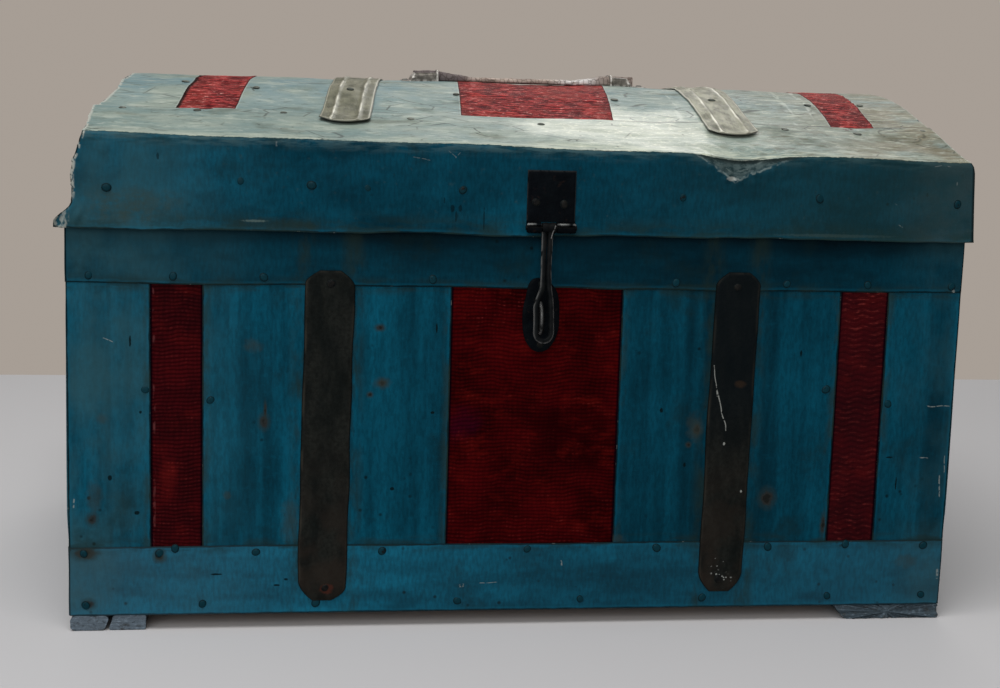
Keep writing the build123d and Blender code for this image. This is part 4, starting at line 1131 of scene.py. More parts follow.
# --- Finishes in use ---------------------------------------
FLUTE_STREAK = (20, 200, 300)
ALONG_STREAK = (110, 110, 30)
front_paint = teal_tin("front_paint", TEAL_DEEP, TEAL_LIGHT, FLUTE_STREAK, sheet_marks, shade=sheet_shade)
band_paint = teal_tin("band_paint", TEAL_DEEP, TEAL_LIGHT, ALONG_STREAK, band_marks, shade=band_shade)
end_paint = teal_tin("end_paint", TEAL_DEEP, TEAL_LIGHT, (200, 40, 300), edge="pale")
folded_paint = folded_tin("folded_paint", skirt_marks)
lid_paint = lid_tin()
front_red = front_red_tin()
lid_red = lid_red_tin()
dark_strap = dark_strap_tin()
worn_strap = worn_strap_tin()
STRAP_NAILS = [(-133, 9, 20, 245), (139.5, 9, 20, 245), (6.85, 10, 190, 245)]
body_nail_iron = nail_head_iron("body_nail_iron", (0.0014, 0.0235, 0.034), None, STRAP_NAILS)
lid_nail_iron = nail_head_iron("lid_nail_iron", (0.0014, 0.0205, 0.029),
                               ((0.15, 0.16, 0.138), (0.062, 0.068, 0.058)), [(9.6, 14, 280, 300)])
# The plate's rubbed tone is also the colour of its painted glints.
plate_iron = hasp_iron("plate_iron", (0.0008, 0.0015, 0.0025), (0.0018, 0.003, 0.0043), BARE_IRON_AND_GLINT, -0.2)
wire_iron = hasp_iron("wire_iron", (0.0022, 0.0028, 0.0034), (0.006, 0.0066, 0.0068), WIRE_SHINE, -0.1)
hinge_iron = hasp_iron("hinge_iron", (0.012, 0.014, 0.014), (0.045, 0.036, 0.028), (0.15, 0.15, 0.14), -0.02)
cap_metal = cap_steel()
handle_hide = strap_hide()
inside_wood = rough_wood("inside_wood", (0.4, 0.26, 0.145), (0.17, 0.095, 0.05))
runner_wood = rough_wood("runner_wood", (0.088, 0.092, 0.092), (0.02, 0.024, 0.028), (0.053, 0.075, 0.092),
                         (0.1, 0.128, 0.156))


# --- Body: wood --------------------------------------------
def wooden(node, body, step=9, rough=0.12):
    """A board or batten of the body, sawn to its box; the left end's follows the tin's swell."""
    low, high = mm_box(node)
    if node == "left_end_board":
        low[0] -= LEFT_SWELL
    shell = block(low, high, step, rough, seed=len(node))
    make(node + "_wood", shell, inside_wood, body, [node])


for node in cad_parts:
    in_body = node in ("front_board", "back_board", "left_end_board", "right_end_board", "bottom_board")
    if in_body or node.startswith("corner_batten"):
        wooden(node, "chest_body")


def runners():
    """The left runner's front is split in two by a slanting crack; the right one is lumpy as bark."""
    low, high = mm_box("left_runner")
    crack = 23.2
    gap = 1.8
    lean = 3.4
    split_end = low[1] + 120
    outside = 1.6
    (x0, y0, z0), (x1, y1, z1) = low, high
    pieces = [block((x0 - outside, y0, z0), (x0 + crack, split_end, z1), 1.5, 0.3, 11, 3.4, 0.3),
              block((x0 + crack + gap, y0 + 0.6, z0), (x1, split_end, z1), 1.5, 0.3, 12, 1.6, 0.3),
              block((x0 + 0.5, split_end, z0), (x1, y1, z1), 5, 0.25, 13, 1.4, 0.2)]
    for shell, side in zip(pieces[:2], (0, 1)):
        edge = low[0] + crack + side * gap
        near = np.exp(-np.abs(shell.points[:, 0] - edge) / 9)
        shell.points[:, 0] += near * (lean * (shell.points[:, 2] - low[2]) / (high[2] - low[2]) - 2)
    make("left_runner_wood", join(pieces), runner_wood, "chest_body", ["left_runner"])
    low, high = mm_box("right_runner")
    shell = block(low, high + np.array([outside, 0, 0]), 1.3, 0.5, 14, 2.4, 0.5)
    x, y, z = shell.points.T
    rising = (z - low[2]) / (high[2] - low[2])
    inner = np.clip(1 - (x - low[0]) / 30, 0, 1)
    lumps = np.clip(ripple(x, z * 1.2, 6.5, 15, 14) + 0.7 * ripple(x, z, 3.6, 16, 14), -1.5, 1.5)
    shell.points[:, 1] += (1.1 + 0.9 * lumps) * smooth(y, low[1] + 12, low[1] + 2)
    shell.points[:, 0] += inner * (1 - rising) * 9
    make("right_runner_wood", shell, runner_wood, "chest_body", ["right_runner"])


runners()


# --- Body: tin ---------------------------------------------
def front_waves(x, z):
    """How far the front's tin stands out between the bands: upright flutes and soft bulges."""
    open_part = smooth(z, BOTTOM_BAND, BOTTOM_BAND + 22) * (1 - smooth(z, TOP_BAND - 22, TOP_BAND))
    flutes = 0.5 + 0.5 * ripple(x, z * 0.07, 40, 21)
    bulges = 0.25 * ripple(x, z, 60, 22) + 0.2 * ripple(x, z * 0.15, 17, 23)
    return 0.6 * open_part * np.clip(flutes + bulges, 0, 1.5)


def upright_panel(name, x, z, y_outer, thickness, relief, finish, steps=(2.2, 3), rib=None):
    """A sheet on the front: flat, with relief towards the viewer."""
    across = spread(*x, steps[0])
    up = spread(*z, steps[1])
    u, v = np.meshgrid(across, up, indexing="ij")
    out = relief(u, v)
    outer = stack(u, y_outer - out, v)
    inner = outer + np.array([0, thickness, 0])
    values = {"border": border_distance(across, up)}
    if rib:
        values["rib"] = rib(u, v)
    make(name + "_skin", plate(outer, inner, **values), finish, "chest_body", [name])


def ribs(x, z):
    """Embossed rows of beads, 0 to 1: a slightly wavering grid of dashes."""
    row = z + 0.9 * ripple(x, z, 42, 31) + 0.25 * ripple(x, z, 11, 32)
    column = x + 0.8 * ripple(x, z, 36, 33)
    line = 0.5 + 0.5 * np.sin(row * math.tau / 2.6)
    bead = 0.5 + 0.5 * np.sin(column * math.tau / 3.1 + 0.9 * ripple(x, z, 15, 36))
    wavy = 0.5 + 0.5 * np.sin((z + 0.9 * np.sin(x * math.tau / 13 + ripple(x, z, 60, 37))) * math.tau / 3.9)
    right_one = smooth(x, 150, 160)
    dashes = line * (0.42 + 0.58 * bead)
    waves = 0.25 + 0.75 * wavy * (0.6 + 0.4 * bead)
    return dashes * (1 - right_one) + waves * right_one


def rib_relief(x, z):
    """How far the red panels of the front stand out: their beads, pressed less deep in patches."""
    patch = np.clip(0.62 + 0.5 * ripple(x, z, 55, 34), 0.15, 1.2)
    return 0.22 * ribs(x, z) * patch + 0.15 * ripple(x, z, 30, 35)


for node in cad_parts:
    if not node.startswith(("front_sheet", "front_red")):
        continue
    low, high = mm_box(node)
    if "red" in node:
        upright_panel(node, (low[0], high[0]), (BOTTOM_BAND - 6, TOP_BAND + 6), low[1] + 0.1, 0.3, rib_relief,
                      front_red, (1.15, 0.62), rib=ribs)
    else:
        left = low[0] - (LEFT_SWELL if node == "front_sheet_far_left" else 0)
        upright_panel(node, (left, high[0]), (low[2], high[2]), low[1], TIN, front_waves, front_paint)


def round_the_body(inset, step, corner):
    """Places and outward directions round the body, anticlockwise seen from above, with rounded corners."""
    left, right, front, back = LEFT - LEFT_SWELL + inset, RIGHT - inset, FRONT + inset, BACK - inset
    places, directions = [], []
    arc = np.radians([0, 22.5, 45, 67.5, 90])
    for start, end, facing in (((left, front), (right, front), -90), ((right, front), (right, back), 0),
                               ((right, back), (left, back), 90), ((left, back), (left, front), 180)):
        start, end = np.array(start), np.array(end)
        ahead = unit(end - start)
        out = np.array([math.cos(math.radians(facing)), math.sin(math.radians(facing))])
        distance = spread(corner, np.linalg.norm(end - start) - corner, step)
        places.append(start + distance[:, None] * ahead)
        directions.append(np.broadcast_to(out, (len(distance), 2)))
        middle = end - corner * ahead - corner * out
        turn = math.radians(facing) + arc[1:-1]
        turned = np.column_stack([np.cos(turn), np.sin(turn)])
        places.append(middle + corner * turned)
        directions.append(turned)
    return np.concatenate(places), np.concatenate(directions)


def body_band(node, z_low, z_high, seed):
    """A band folded round the body, its free edge a little wavy."""
    place, out = round_the_body(0, 2.4, 2.2)
    along = np.arctan2(place[:, 1], place[:, 0]) * 400
    share = spread(0, 1, 1 / 16)
    wavy = 0.5 * ripple(along, 0, 170, seed, 6)
    bottom = z_low + wavy * (node == "top_band")
    top = z_high + wavy * (node == "bottom_band")
    z = bottom[:, None] + (top - bottom)[:, None] * share
    bulge = 0.22 * ripple(along[:, None], z, 70, seed + 1) * np.sin(share * math.pi)
    (x, y), (out_x, out_y) = place.T[..., None], out.T[..., None]
    outer = stack(x + bulge * out_x, y + bulge * out_y, z)
    inner = stack(x - TIN * out_x, y - TIN * out_y, z)
    edge = np.minimum(z - bottom[:, None], top[:, None] - z)
    corner = 6 * (1 - np.abs(out).max(1))[:, None]
    shell = plate(outer, inner, ring=True, border=np.where(corner > 0.3, 0.45, edge))
    make(node + "_skin", shell, band_paint, "chest_body", [node])


body_band("top_band", TOP_BAND, RIM, 41)
body_band("bottom_band", BASE, BOTTOM_BAND, 44)


def side_panel(node, sign, body="chest_body"):
    """An end sheet or the back sheet: flat, with soft bulges between the bands."""
    low, high = mm_box(node)
    if node == "left_end_sheet":
        low[0] -= LEFT_SWELL
        high[0] -= LEFT_SWELL
    flat_axis = int(np.argmin(high - low))
    run_axis = 1 - flat_axis
    along = spread(low[run_axis], high[run_axis], 4)
    if (flat_axis == 0) != (sign > 0):
        along = along[::-1]
    up = spread(low[2], high[2], 4)
    u, v = np.meshgrid(along, up, indexing="ij")
    open_part = smooth(v, BOTTOM_BAND, BOTTOM_BAND + 25) * (1 - smooth(v, TOP_BAND - 25, TOP_BAND))
    out = 0.7 * open_part * np.clip(0.6 + 0.6 * ripple(u, v * 0.3, 80, len(node)), 0, 1.5)
    outer = np.zeros(u.shape + (3,))
    outer[..., run_axis] = u
    outer[..., 2] = v
    inner = outer.copy()
    outside, inside = (high, low) if sign > 0 else (low, high)
    outer[..., flat_axis] = outside[flat_axis] + sign * out
    inner[..., flat_axis] = inside[flat_axis] + sign * out * 0.5
    border = border_distance(np.abs(along - along[0]), up)
    make(node + "_skin", plate(outer, inner, border=border), end_paint, body, [node])


side_panel("left_end_sheet", -1)
side_panel("right_end_sheet", 1)
side_panel("back_sheet", 1)


def front_strap(node, seed, corners):
    """A strap on the front: corners clipped by their own amounts, edges rolled down, slightly uneven."""
    low, high = mm_box(node)
    lean = 3.2
    half = (high[0] - low[0] - lean) / 2
    tip = 7
    up = np.concatenate([spread(low[2], low[2] + 16, 0.8), spread(low[2] + 16, high[2] - 12, 3)[1:-1],
                         spread(high[2] - 12, high[2], 0.8)])
    share = np.sin(spread(-1, 1, 0.06) * math.pi / 2)

    def side(foot, head, wave):
        """Half width along the strap, clipped near the foot and the head by these lengths."""
        near_foot = 1 - (1 - np.clip((up - low[2]) / foot, 0, 1)) ** 1.9
        near_head = 1 - (1 - np.clip((high[2] - up) / head, 0, 1)) ** 1.6
        return tip + (half - tip) * near_foot * near_head + 0.35 * ripple(up, 0, 60, wave, 5)

    left, right = side(corners[0], corners[2], seed), side(corners[1], corners[3], seed + 7)
    from_end = np.minimum(up - low[2], high[2] - up)
    width = np.where(share[:, None] < 0, left, right)
    middle = low[0] + half + lean * (up - low[2]) / (high[2] - low[2])
    u = middle + share[:, None] * width
    edge = np.minimum((1 - np.abs(share))[:, None] * width, from_end + 0.4)
    thick = (high - low)[1]
    rolled = np.sqrt(np.clip(edge / 2.6, 0, 1))
    out = thick * (0.35 + 0.75 * rolled) + 0.25 * ripple(u, up, 45, seed + 1) * rolled
    outer = stack(u, high[1] - out, up)
    inner = stack(u, high[1], up)
    make(node + "_tin", plate(outer, inner, border=edge), dark_strap, "chest_body", [node])


front_strap("front_strap_left", 51, (14, 9, 8, 10))
front_strap("front_strap_right", 54, (15, 14, 9, 9))


# --- Lid: wood ---------------------------------------------
def skirt_dents(x, z):
    """How far the lid's front is pushed in: a three-cornered dent under the fold, and a few small ones."""
    beside = np.where(x < DENT_X, (DENT_X - x) * VEE_LEFT, (x - DENT_X) * VEE_RIGHT)
    dent = 4.8 * smooth(z - DENT_TIP - beside, -1.5, 8)
    dent += 0.9 * bell(x, z, -243, 314.5, 3.5, 3) + 0.8 * bell(x, z, -52, 283, 4, 6)
    return dent + 0.5 * bell(x, z, -105, 318, 18, 6) + 0.7 * bell(x, z, 246, 293, 5, 4)


def lid_slat(node):
    """A bent slat just under the lid's tin. The front one keeps behind the dents."""
    low, high = mm_box(node)
    under = 2 * TIN + 0.05
    thick = 6
    y = spread(low[1], high[1], 4)
    share = spread(0, 1, 1 / 240 if "front" in node else 1 / 60)
    ends = barrel(y)
    x = (left_end(ends) + 1) + share[:, None] * (right_end(ends) - left_end(ends) - 2)
    if "front" in node:
        pushed = 1.15 * skirt_dents(x, FOLD - 5) + 0.45 * dent_depth(x)
        y = y + pushed * (1 - smooth(y, low[1], low[1] + 30))
    top = lid_height(x, y) - under
    if "front" in node:
        top = top - 0.4 * dent_depth(x) * (1 - smooth(y, low[1] + 4, low[1] + 34))
    outer = stack(x, y, top)
    inner = stack(x, y, top - thick)
    make(node + "_wood", plate(outer, inner), inside_wood, "lid", [node])


for node in ("lid_slat_front", "lid_slat_crown", "lid_slat_back"):
    lid_slat(node)


def lid_long_board(node):
    """A board along the lid's front or back, dented where the tin before it is."""
    low, high = mm_box(node)
    z = spread(low[2], high[2], 3)
    share = spread(0, 1, 1 / 200)
    x = (left_end(z) + 1.6) + share[:, None] * (right_end(z) - left_end(z) - 2.6)
    outside, inside = low[1], high[1]
    top = lid_height(x, inside) - 7.5
    if "front" in node:
        dented = dent_depth(x)
        outside = outside + skirt_dents(x, z) * 1.15 + 0.3 + 1.6 * np.clip(dented / 2, 0, 1)
        inside = np.maximum(inside, outside + 5)
        top = np.minimum(top, high[2] - 1 * dented - 6 * np.clip(dented / 2, 0, 1))
    z = z + np.minimum(top - z.max(), 0) * smooth(z, low[2] + 12, high[2])
    outer = stack(x, outside, z)
    inner = stack(x, inside, z)
    make(node + "_wood", plate(outer, inner), inside_wood, "lid", [node])


lid_long_board("lid_front_board")
lid_long_board("lid_back_board")


def lid_end_board(node):
    """An end board under the arch, leaning with the lid's end."""
    low, high = mm_box(node)
    depth = spread(low[1] + 0.8, high[1] - 0.8, 5)
    share = spread(0, 1, 1 / 40)
    top = barrel(depth) - 2 * TIN - 6.2
    z = low[2] + share[:, None] * (top - low[2])
    wall = 12
    if "left" in node:
        outer = stack(left_end(z) + TIN, depth, z)
        inner = outer + np.array([wall, 0, 0])
    else:
        inner = stack(right_end(z) - TIN, depth, z)
        outer = inner - np.array([wall, 0, 0])
    shell = plate(outer.transpose(1, 0, 2)[::-1], inner.transpose(1, 0, 2)[::-1])
    make(node + "_wood", shell, inside_wood, "lid", [node])


lid_end_board("lid_left_board")
lid_end_board("lid_right_board")


# --- Lid: tin ----------------------------------------------
FOLD_RADIUS = 3.4


def folded_section(x):
    """Places up the skirt, round the fold and back over the top, for each place along the lid."""
    turn = math.pi / 2 - SLOPE
    tangent = FOLD_RADIUS * math.tan(turn / 2)
    skirt = spread(0, 1, 1 / 26)
    arc = math.pi - spread(0, 1, 1 / 8)[1:-1] * turn
    band = spread(0, 1, 1 / 40) ** 1.15
    fold = FOLD + fold_shift(x)
    lip = LIP + 0.5 * ripple(x, 0, 130, 61, 5) + 0.25 * ripple(x, 0, 21, 62, 5)
    below = fold - tangent
    rear = band_rear(x)
    z_skirt = lip[:, None] + (below - lip)[:, None] * skirt
    y_skirt = LID_FRONT + 0 * z_skirt
    y_arc = LID_FRONT + FOLD_RADIUS + FOLD_RADIUS * np.cos(arc) + 0 * x[:, None]
    z_arc = below[:, None] + FOLD_RADIUS * np.sin(arc)
    start = LID_FRONT + tangent * math.cos(SLOPE)
    y_band = start + (rear - start)[:, None] * band
    z_band = lid_height(x[:, None], y_band)
    meet = fold[:, None] + (y_band - LID_FRONT) * math.tan(SLOPE)
    near = 1 - smooth(y_band, start, start + 9)
    z_band = z_band * (1 - near) + meet * near
    return np.concatenate([y_skirt, y_arc, y_band], 1), np.concatenate([z_skirt, z_arc, z_band], 1), lip


def lid_front_sheet():
    """One sheet: the skirt, the fold and the front band, with dents, a crumpled tear and a worn fold. Its
    lower left corner is stretched outwards with the end's bent foot, and crumpled there."""
    share = np.concatenate([spread(0, 0.05, 1 / 1000), spread(0.05, 1, 1 / 360)[1:]])
    width = RIGHT_LIP - LEFT_LIP
    y, z, lip = folded_section(LEFT_LIP + share * width)
    left, right = np.minimum(left_end(z), BAND_LEFT), right_end(z)
    along = left + share[:, None] * (right - left)
    y, z, lip = folded_section(along[:, 20])
    near_left = np.clip(1 - share * width / 17, 0, 1)[:, None]
    chips = near_left**3 * (0.55 * ripple(z, 0, 11, 67, 6) + 0.3 * ripple(z, 0, 4, 68, 6))
    along = along - near_left * flare(z) + chips * smooth(z, 284, 292)
    low_part = 1 - smooth(z, FOLD - 14, FOLD - 2)
    skirt = y < LID_FRONT + 0.01
    push = skirt_dents(along, z) - 0.35 * ripple(along, z * 1.4, 85, 64) * low_part
    push -= 0.5 * (1 - smooth(z - lip[:, None], 0, 3)) * skirt
    push += 0.9 * ripple(along, z, 7, 65) * bell(along, z, DENT_X + 4, 312, 24, 8)
    push += near_left * flare(z) / LEFT_FLARE * (0.9 * ripple(along, z, 8, 66, 8) - 1)
    upright = 1 - smooth(y, LID_FRONT + 0.5, LID_FRONT + 6)
    outer = stack(along, y + push * upright, z)
    normal = unit(np.cross(np.gradient(outer, axis=0), np.gradient(outer, axis=1)))
    inner = outer - TIN * normal
    run = travelled(outer[200])
    top_part = smooth(y, LID_FRONT + 0.2, LID_FRONT + 3)
    below = np.clip((FOLD + fold_shift(along[:, 20]))[:, None] - z, 0, 99)
    shell = plate(outer, inner, border=border_distance(share * width, run), top=top_part, below=below,
                  rim=share[:, None] * width)
    make("lid_front_sheet_skin", shell, folded_paint, "lid", ["lid_front_sheet"], crease=60)


lid_front_sheet()


def top_sheet(node, seam_left, seam_right, drift_left, drift_right, thickness, finish, relief=None,
              steps=(3, 3)):
    """A sheet over the barrel between two drifting seams."""
    depth = spread(BAND_REAR - 8, LID_BACK - 20, steps[1])
    ends = barrel(depth)
    x_left = np.maximum(seam_left + drift_left * (depth - BAND_REAR), left_end(ends) + 0.1)
    x_right = np.minimum(seam_right + drift_right * (depth - BAND_REAR), right_end(ends) - 0.1)
    share = spread(0, 1, steps[0] / abs(seam_right - seam_left) if abs(seam_right) < 900 else 1 / 40)
    x = x_left + share[:, None] * (x_right - x_left)
    top = lid_height(x, depth) - 2 * TIN + thickness
    values = {"seam": np.maximum(depth - band_rear(x), 0)}
    if relief:
        values["rib"] = relief(x, depth)
        top = top + 0.7 * values["rib"]
    width = x_right - x_left
    values["border"] = np.minimum(share[:, None] * width, (1 - share)[:, None] * width)
    if "far_left" in node:
        values["rim"] = share[:, None] * width
        x = x + 0.5 * (1 - share[:, None]) ** 8 * ripple(depth, 0, 17, 69, 6)
    outer = stack(x, depth, top)
    inner = stack(x, depth, top - thickness)
    make(node + "_skin", plate(outer, inner, **values), finish, "lid", [node])


def lid_ribs(x, y):
    """Crumpled ridges along the lid's red panels, 0 to 1."""
    folds = ripple(x / 3.6, y, 5.2, 71, 14) + 0.5 * ripple(x / 2.2, y, 2.9, 72, 14)
    return np.clip(0.45 + 0.42 * folds, 0, 1) * (0.75 + 0.25 * ripple(x, y, 30, 73, 6))


LID_SEAMS = [(-320, 0), (-236, 0.1), (-196.5, 0.1), (-43.2, 0.08), (63.3, 0.12), (220, 0.085), (252, 0.09),
             (320, 0)]
LID_SHEETS = ["lid_sheet_far_left", "lid_red_left", "lid_sheet_left", "lid_red_centre", "lid_sheet_right",
              "lid_red_right", "lid_sheet_far_right"]
for node, (x0, drift0), (x1, drift1) in zip(LID_SHEETS, LID_SEAMS, LID_SEAMS[1:]):
    if "red" in node:
        top_sheet(node, x0, x1, drift0, drift1, 0.4, lid_red, lid_ribs, (1.4, 0.9))
    else:
        top_sheet(node, x0, x1, drift0, drift1, TIN, lid_paint)


def lid_back_sheet():
    """The back's sheet: up the back and folded over on to the top."""
    share = spread(0, 1, 1 / 120)
    low = mm_box("lid_back_sheet")[0]
    up = spread(low[2], FOLD - 3, 3.5)
    over = spread(LID_BACK - 2, low[1], 3)
    z = np.concatenate([up, barrel(over)])
    y = np.concatenate([0 * up + LID_BACK, over])
    x = left_end(z) + share[:, None] * (right_end(z) - left_end(z))
    y, z = y + 0 * x, z + 0 * x
    z[:, len(up):] = lid_height(x[:, len(up):], y[:, len(up):])
    y[:, :len(up)] += 0.14 * ripple(x[:, :len(up)], z[:, :len(up)], 80, 81) - 0.1
    outer = stack(x, y, z)[::-1]
    normal = unit(np.cross(np.gradient(outer, axis=0), np.gradient(outer, axis=1)))
    run = travelled(outer[60])
    top = np.arange(len(run)) >= len(up)
    shell = plate(outer, outer - TIN * normal, border=border_distance(share * 600, run), top=top)
    make("lid_back_sheet_skin", shell, folded_paint, "lid", ["lid_back_sheet"], crease=60)


lid_back_sheet()


def lid_end_sheet(node):
    """An end's sheet under the arch. The left one's foot is bent outwards over the body's corner."""
    low, high = mm_box(node)
    depth = spread(low[1] + 0.2, high[1] - 0.2, 3.5)
    share = spread(0, 1, 1 / 40)
    top = lid_height(LEFT_LIP if "left" in node else RIGHT_LIP, depth) - 2 * TIN
    z = LIP + share[:, None] ** 1.2 * (top - LIP)
    border = border_distance(depth, share * 90)
    if "left" in node:
        x = left_end(z) - flare(z) * (1 - 0.1 * np.abs(ripple(depth, z, 40, 91, 5))) + 0.15
        inward, order = TIN, -1
    else:
        x = right_end(z) - 0.2 + 0.2 * np.sin(share * math.pi)[:, None] * ripple(depth, z, 70, 92)
        inward, order = -TIN, 1
    outer = stack(x, depth, z).transpose(1, 0, 2)[::order]
    inner = stack(x + inward, depth, z).transpose(1, 0, 2)[::order]
    border = border[::order]
    make(node + "_skin", plate(outer, inner, border=border), end_paint, "lid", [node])


lid_end_sheet("lid_left_sheet")
lid_end_sheet("lid_right_sheet")


def lid_strap(node, x_left, x_right, drift, seed):
    """A strap over the barrel: a flat middle between two pressed beads, its rounded ends lifted a little."""
    low, high = mm_box(node)
    run = high[1] - low[1]
    bulge = 9
    depth = np.concatenate([spread(0, 14, 0.8), spread(14, run - 14, 3)[1:-1], spread(run - 14, run, 0.8)])
    share = spread(-1, 1, 0.045)
    half = (x_right - x_left) / 2
    bow = bulge * share**2
    y = low[1] + bow[:, None] + (depth / run) * (run - 2 * bow)[:, None]
    middle = x_left + half + drift * (y - low[1])
    x = middle + share[:, None] * half
    bead = np.exp(-((np.abs(share) - 0.52) / 0.075) ** 2)[:, None]
    edge = np.minimum((1 - np.abs(share))[:, None] * half, np.minimum(depth, run - depth))
    lift = 2.6 * np.exp(-depth / 13) + 0.6 * np.exp(-(run - depth) / 13)
    height = lid_height(x, y) + 0.35 + lift
    out = 0.45 + 0.95 * bead + 0.45 * (1 - share**2)[:, None] + 0.2 * ripple(x, y, 26, seed)
    outer = stack(x, y, height + out * smooth(edge, -0.5, 1.5))
    inner = stack(x, y, height - 0.25)
    rib = bead * np.clip(0.75 + 0.5 * ripple(x, y, 35, seed + 1), 0, 1)
    make(node + "_tin", plate(outer, inner, border=edge, rib=rib), worn_strap, "lid", [node])


lid_strap("lid_strap_left", -141.8, -108, 0.11, 101)
lid_strap("lid_strap_right", 125.5, 160.5, 0.04, 104)


# --- Hasp --------------------------------------------------
pin_low, pin_high = mm_box("hasp_pin")
PIN_Y = (pin_low[1] + pin_high[1]) / 2
PIN_Z = (pin_low[2] + pin_high[2]) / 2
GAP_LEFT, GAP_RIGHT = 3.9, 14.2


def hasp_plate():
    """A flat plate, its edges filed round, with two knuckles rolled round the pin."""
    low, high = mm_box("hasp_plate")
    across = np.sin(spread(-1, 1, 0.06) * math.pi / 2)
    half = (high[0] - low[0]) / 2
    notch = 3.9
    up = spread(PIN_Z + notch, high[2], 1.3)
    u, v = np.meshgrid((low[0] + high[0]) / 2 + across * half, up, indexing="ij")
    edge = np.minimum((1 - np.abs(across))[:, None] * half, (high[2] - up) + 0.1)
    out = 1.2 * (0.45 + 0.55 * np.sqrt(np.clip(edge / 1.6, 0, 1))) + 0.12 * ripple(u, v, 17, 111)
    outer = stack(u, LID_FRONT - out, v)
    inner = stack(u, LID_FRONT, v)
    # A faint painted highlight round the plate's edge.
    shells = [plate(outer, inner, rub=0.06 * (edge < 0.3))]
    turn = spread(-0.5 * math.pi, 1.28 * math.pi, 0.18)
    for x0, x1 in ((low[0], GAP_LEFT), (GAP_RIGHT, high[0])):
        roll = spread(x0, x1, 0.8)
        radius = 3.35 - 0.35 * np.clip(1 - np.minimum(roll - x0, x1 - roll) / 0.8, 0, 1) ** 2
        x = roll[:, None]
        y = PIN_Y + radius[:, None] * np.sin(turn)
        z = PIN_Z - radius[:, None] * np.cos(turn)
        hole = 1.9
        inside = stack(x, PIN_Y + hole * np.sin(turn), PIN_Z - hole * np.cos(turn))
        # Painted glint: a bright line along the top of each knuckle.
        rub = 0.9 * np.exp(-((turn - 3.75) / 0.2) ** 2) * np.clip(0.6 + 0.6 * ripple(x, y, 6, 112), 0, 1)
        shells.append(plate(stack(x, y, z)[::-1], inside[::-1], rub=rub[::-1]))
        web = spread(PIN_Z - 1, PIN_Z + notch + 0.5, 1)
        shells.append(plate(stack(x, LID_FRONT - 1.15, web), stack(x, LID_FRONT, web)))
    make("hasp_plate_iron", join(shells), plate_iron, "lid", ["hasp_plate"])


def hasp_pin():
    """The straight pin through the knuckles; its bright tail, bent down beside the loop, is made with the
    loop's wire.
    """
    straight = stack(spread(pin_low[0] - 0.8, pin_high[0] + 0.8, 1.5), PIN_Y, PIN_Z)
    make("hasp_pin_wire", tube(straight, (0, 0, 1), 1.55), wire_iron, "lid", ["hasp_pin"])


hasp_plate()
hasp_pin()

LOOP_SWING = math.radians(13)
LOOP_LENGTH = 74.3


def loop_place(x, down, out=0):
    """A place on the loop's plane: across, down from the pin, and out from the plane."""
    y = PIN_Y - down * math.sin(LOOP_SWING) - out * math.cos(LOOP_SWING)
    z = PIN_Z - down * math.cos(LOOP_SWING) + out * math.sin(LOOP_SWING)
    return stack(x, y, z)


def hasp_loop():
    """One wire bent double: two legs that open into a long eye, wound once round the pin."""
    eye_left, eye_right = -0.1, 9.8
    middle, half = (eye_left + eye_right) / 2, (eye_right - eye_left) / 2
    down = spread(2.6, LOOP_LENGTH - half, 1)
    left = eye_left + (5 - eye_left) * (1 - smooth(down, 37, 54)) + 0.7 * (1 - smooth(down, 4, 30))
    right = eye_right + (8.7 - eye_right) * (1 - smooth(down, 35, 50)) + 0.8 * (1 - smooth(down, 4, 30))
    left = left + 0.25 * ripple(down, 0, 30, 121, 5)
    right = right + 0.2 * ripple(down, 0, 34, 122, 5)
    turn = spread(math.pi, math.tau, 0.2)[1:-1]
    bottom_x = middle + half * np.cos(turn)
    bottom_down = LOOP_LENGTH - half - half * np.sin(turn)
    x = np.concatenate([left, bottom_x, right[::-1]])
    depth = np.concatenate([down, bottom_down, down[::-1]])
    path = loop_place(x, depth, 0.3 * ripple(depth, x, 26, 123, 5) * smooth(depth, 4, 20))
    across = np.array([0, -math.cos(LOOP_SWING), math.sin(LOOP_SWING)])
    radius = 1.8 + 0.06 * ripple(depth, x, 13, 124, 6)
    barrel_x = spread(4.5, 13.4, 0.8)
    barrel_path = stack(barrel_x, PIN_Y, PIN_Z)
    groove = 3.3 + 0.3 * np.abs(np.sin((barrel_x - 4.5) / 8.9 * math.pi * 2))
    steps = spread(0, 3, 0.15)
    tail_x = np.interp(steps, (0, 1, 2, 3), (12.8, 12.2, 11, 9.9))
    tail_down = np.interp(steps, (0, 1, 2, 3), (-1.2, 0.6, 3.4, 7.5))
    tail_out = np.interp(steps, (0, 1, 2, 3), (3, 2.8, 1.95, 1.5))
    tail = tube(loop_place(tail_x, tail_down, tail_out), across, 0.7, 10, glint=0)
    shells = [tube(path, across, radius, 20, glint=-1.15), tube(barrel_path, (0, 0, 1), groove, 18), tail]
    make("hasp_loop_wire", join(shells), wire_iron, "hasp_loop", ["hasp_loop"])


hasp_loop()


def staple():
    """A wire staple: two legs out of the board, joined by a round bend."""
    low, high = mm_box("staple")
    radius = (high[0] - low[0]) / 2
    x = (low[0] + high[0]) / 2 - 1.9
    bend = (high[2] - low[2]) / 2 - radius
    turn = spread(-math.pi / 2, math.pi / 2, 0.16)[::-1]
    tip = low[1] + radius + bend * 0.8
    out = spread(high[1], tip, 1.5)[:-1]
    y = np.concatenate([out, tip - bend * 0.8 * np.cos(turn), out[::-1]])
    z_low, z_high = low[2] + radius, high[2] - radius
    z = np.concatenate([0 * out + z_high, (z_low + z_high) / 2 + bend * np.sin(turn), 0 * out + z_low])
    shell = tube(stack(x, y, z), (1, 0, 0), radius, 16, glint=-1.9)
    make("staple_wire", shell, wire_iron, "chest_body", ["staple"])


staple()


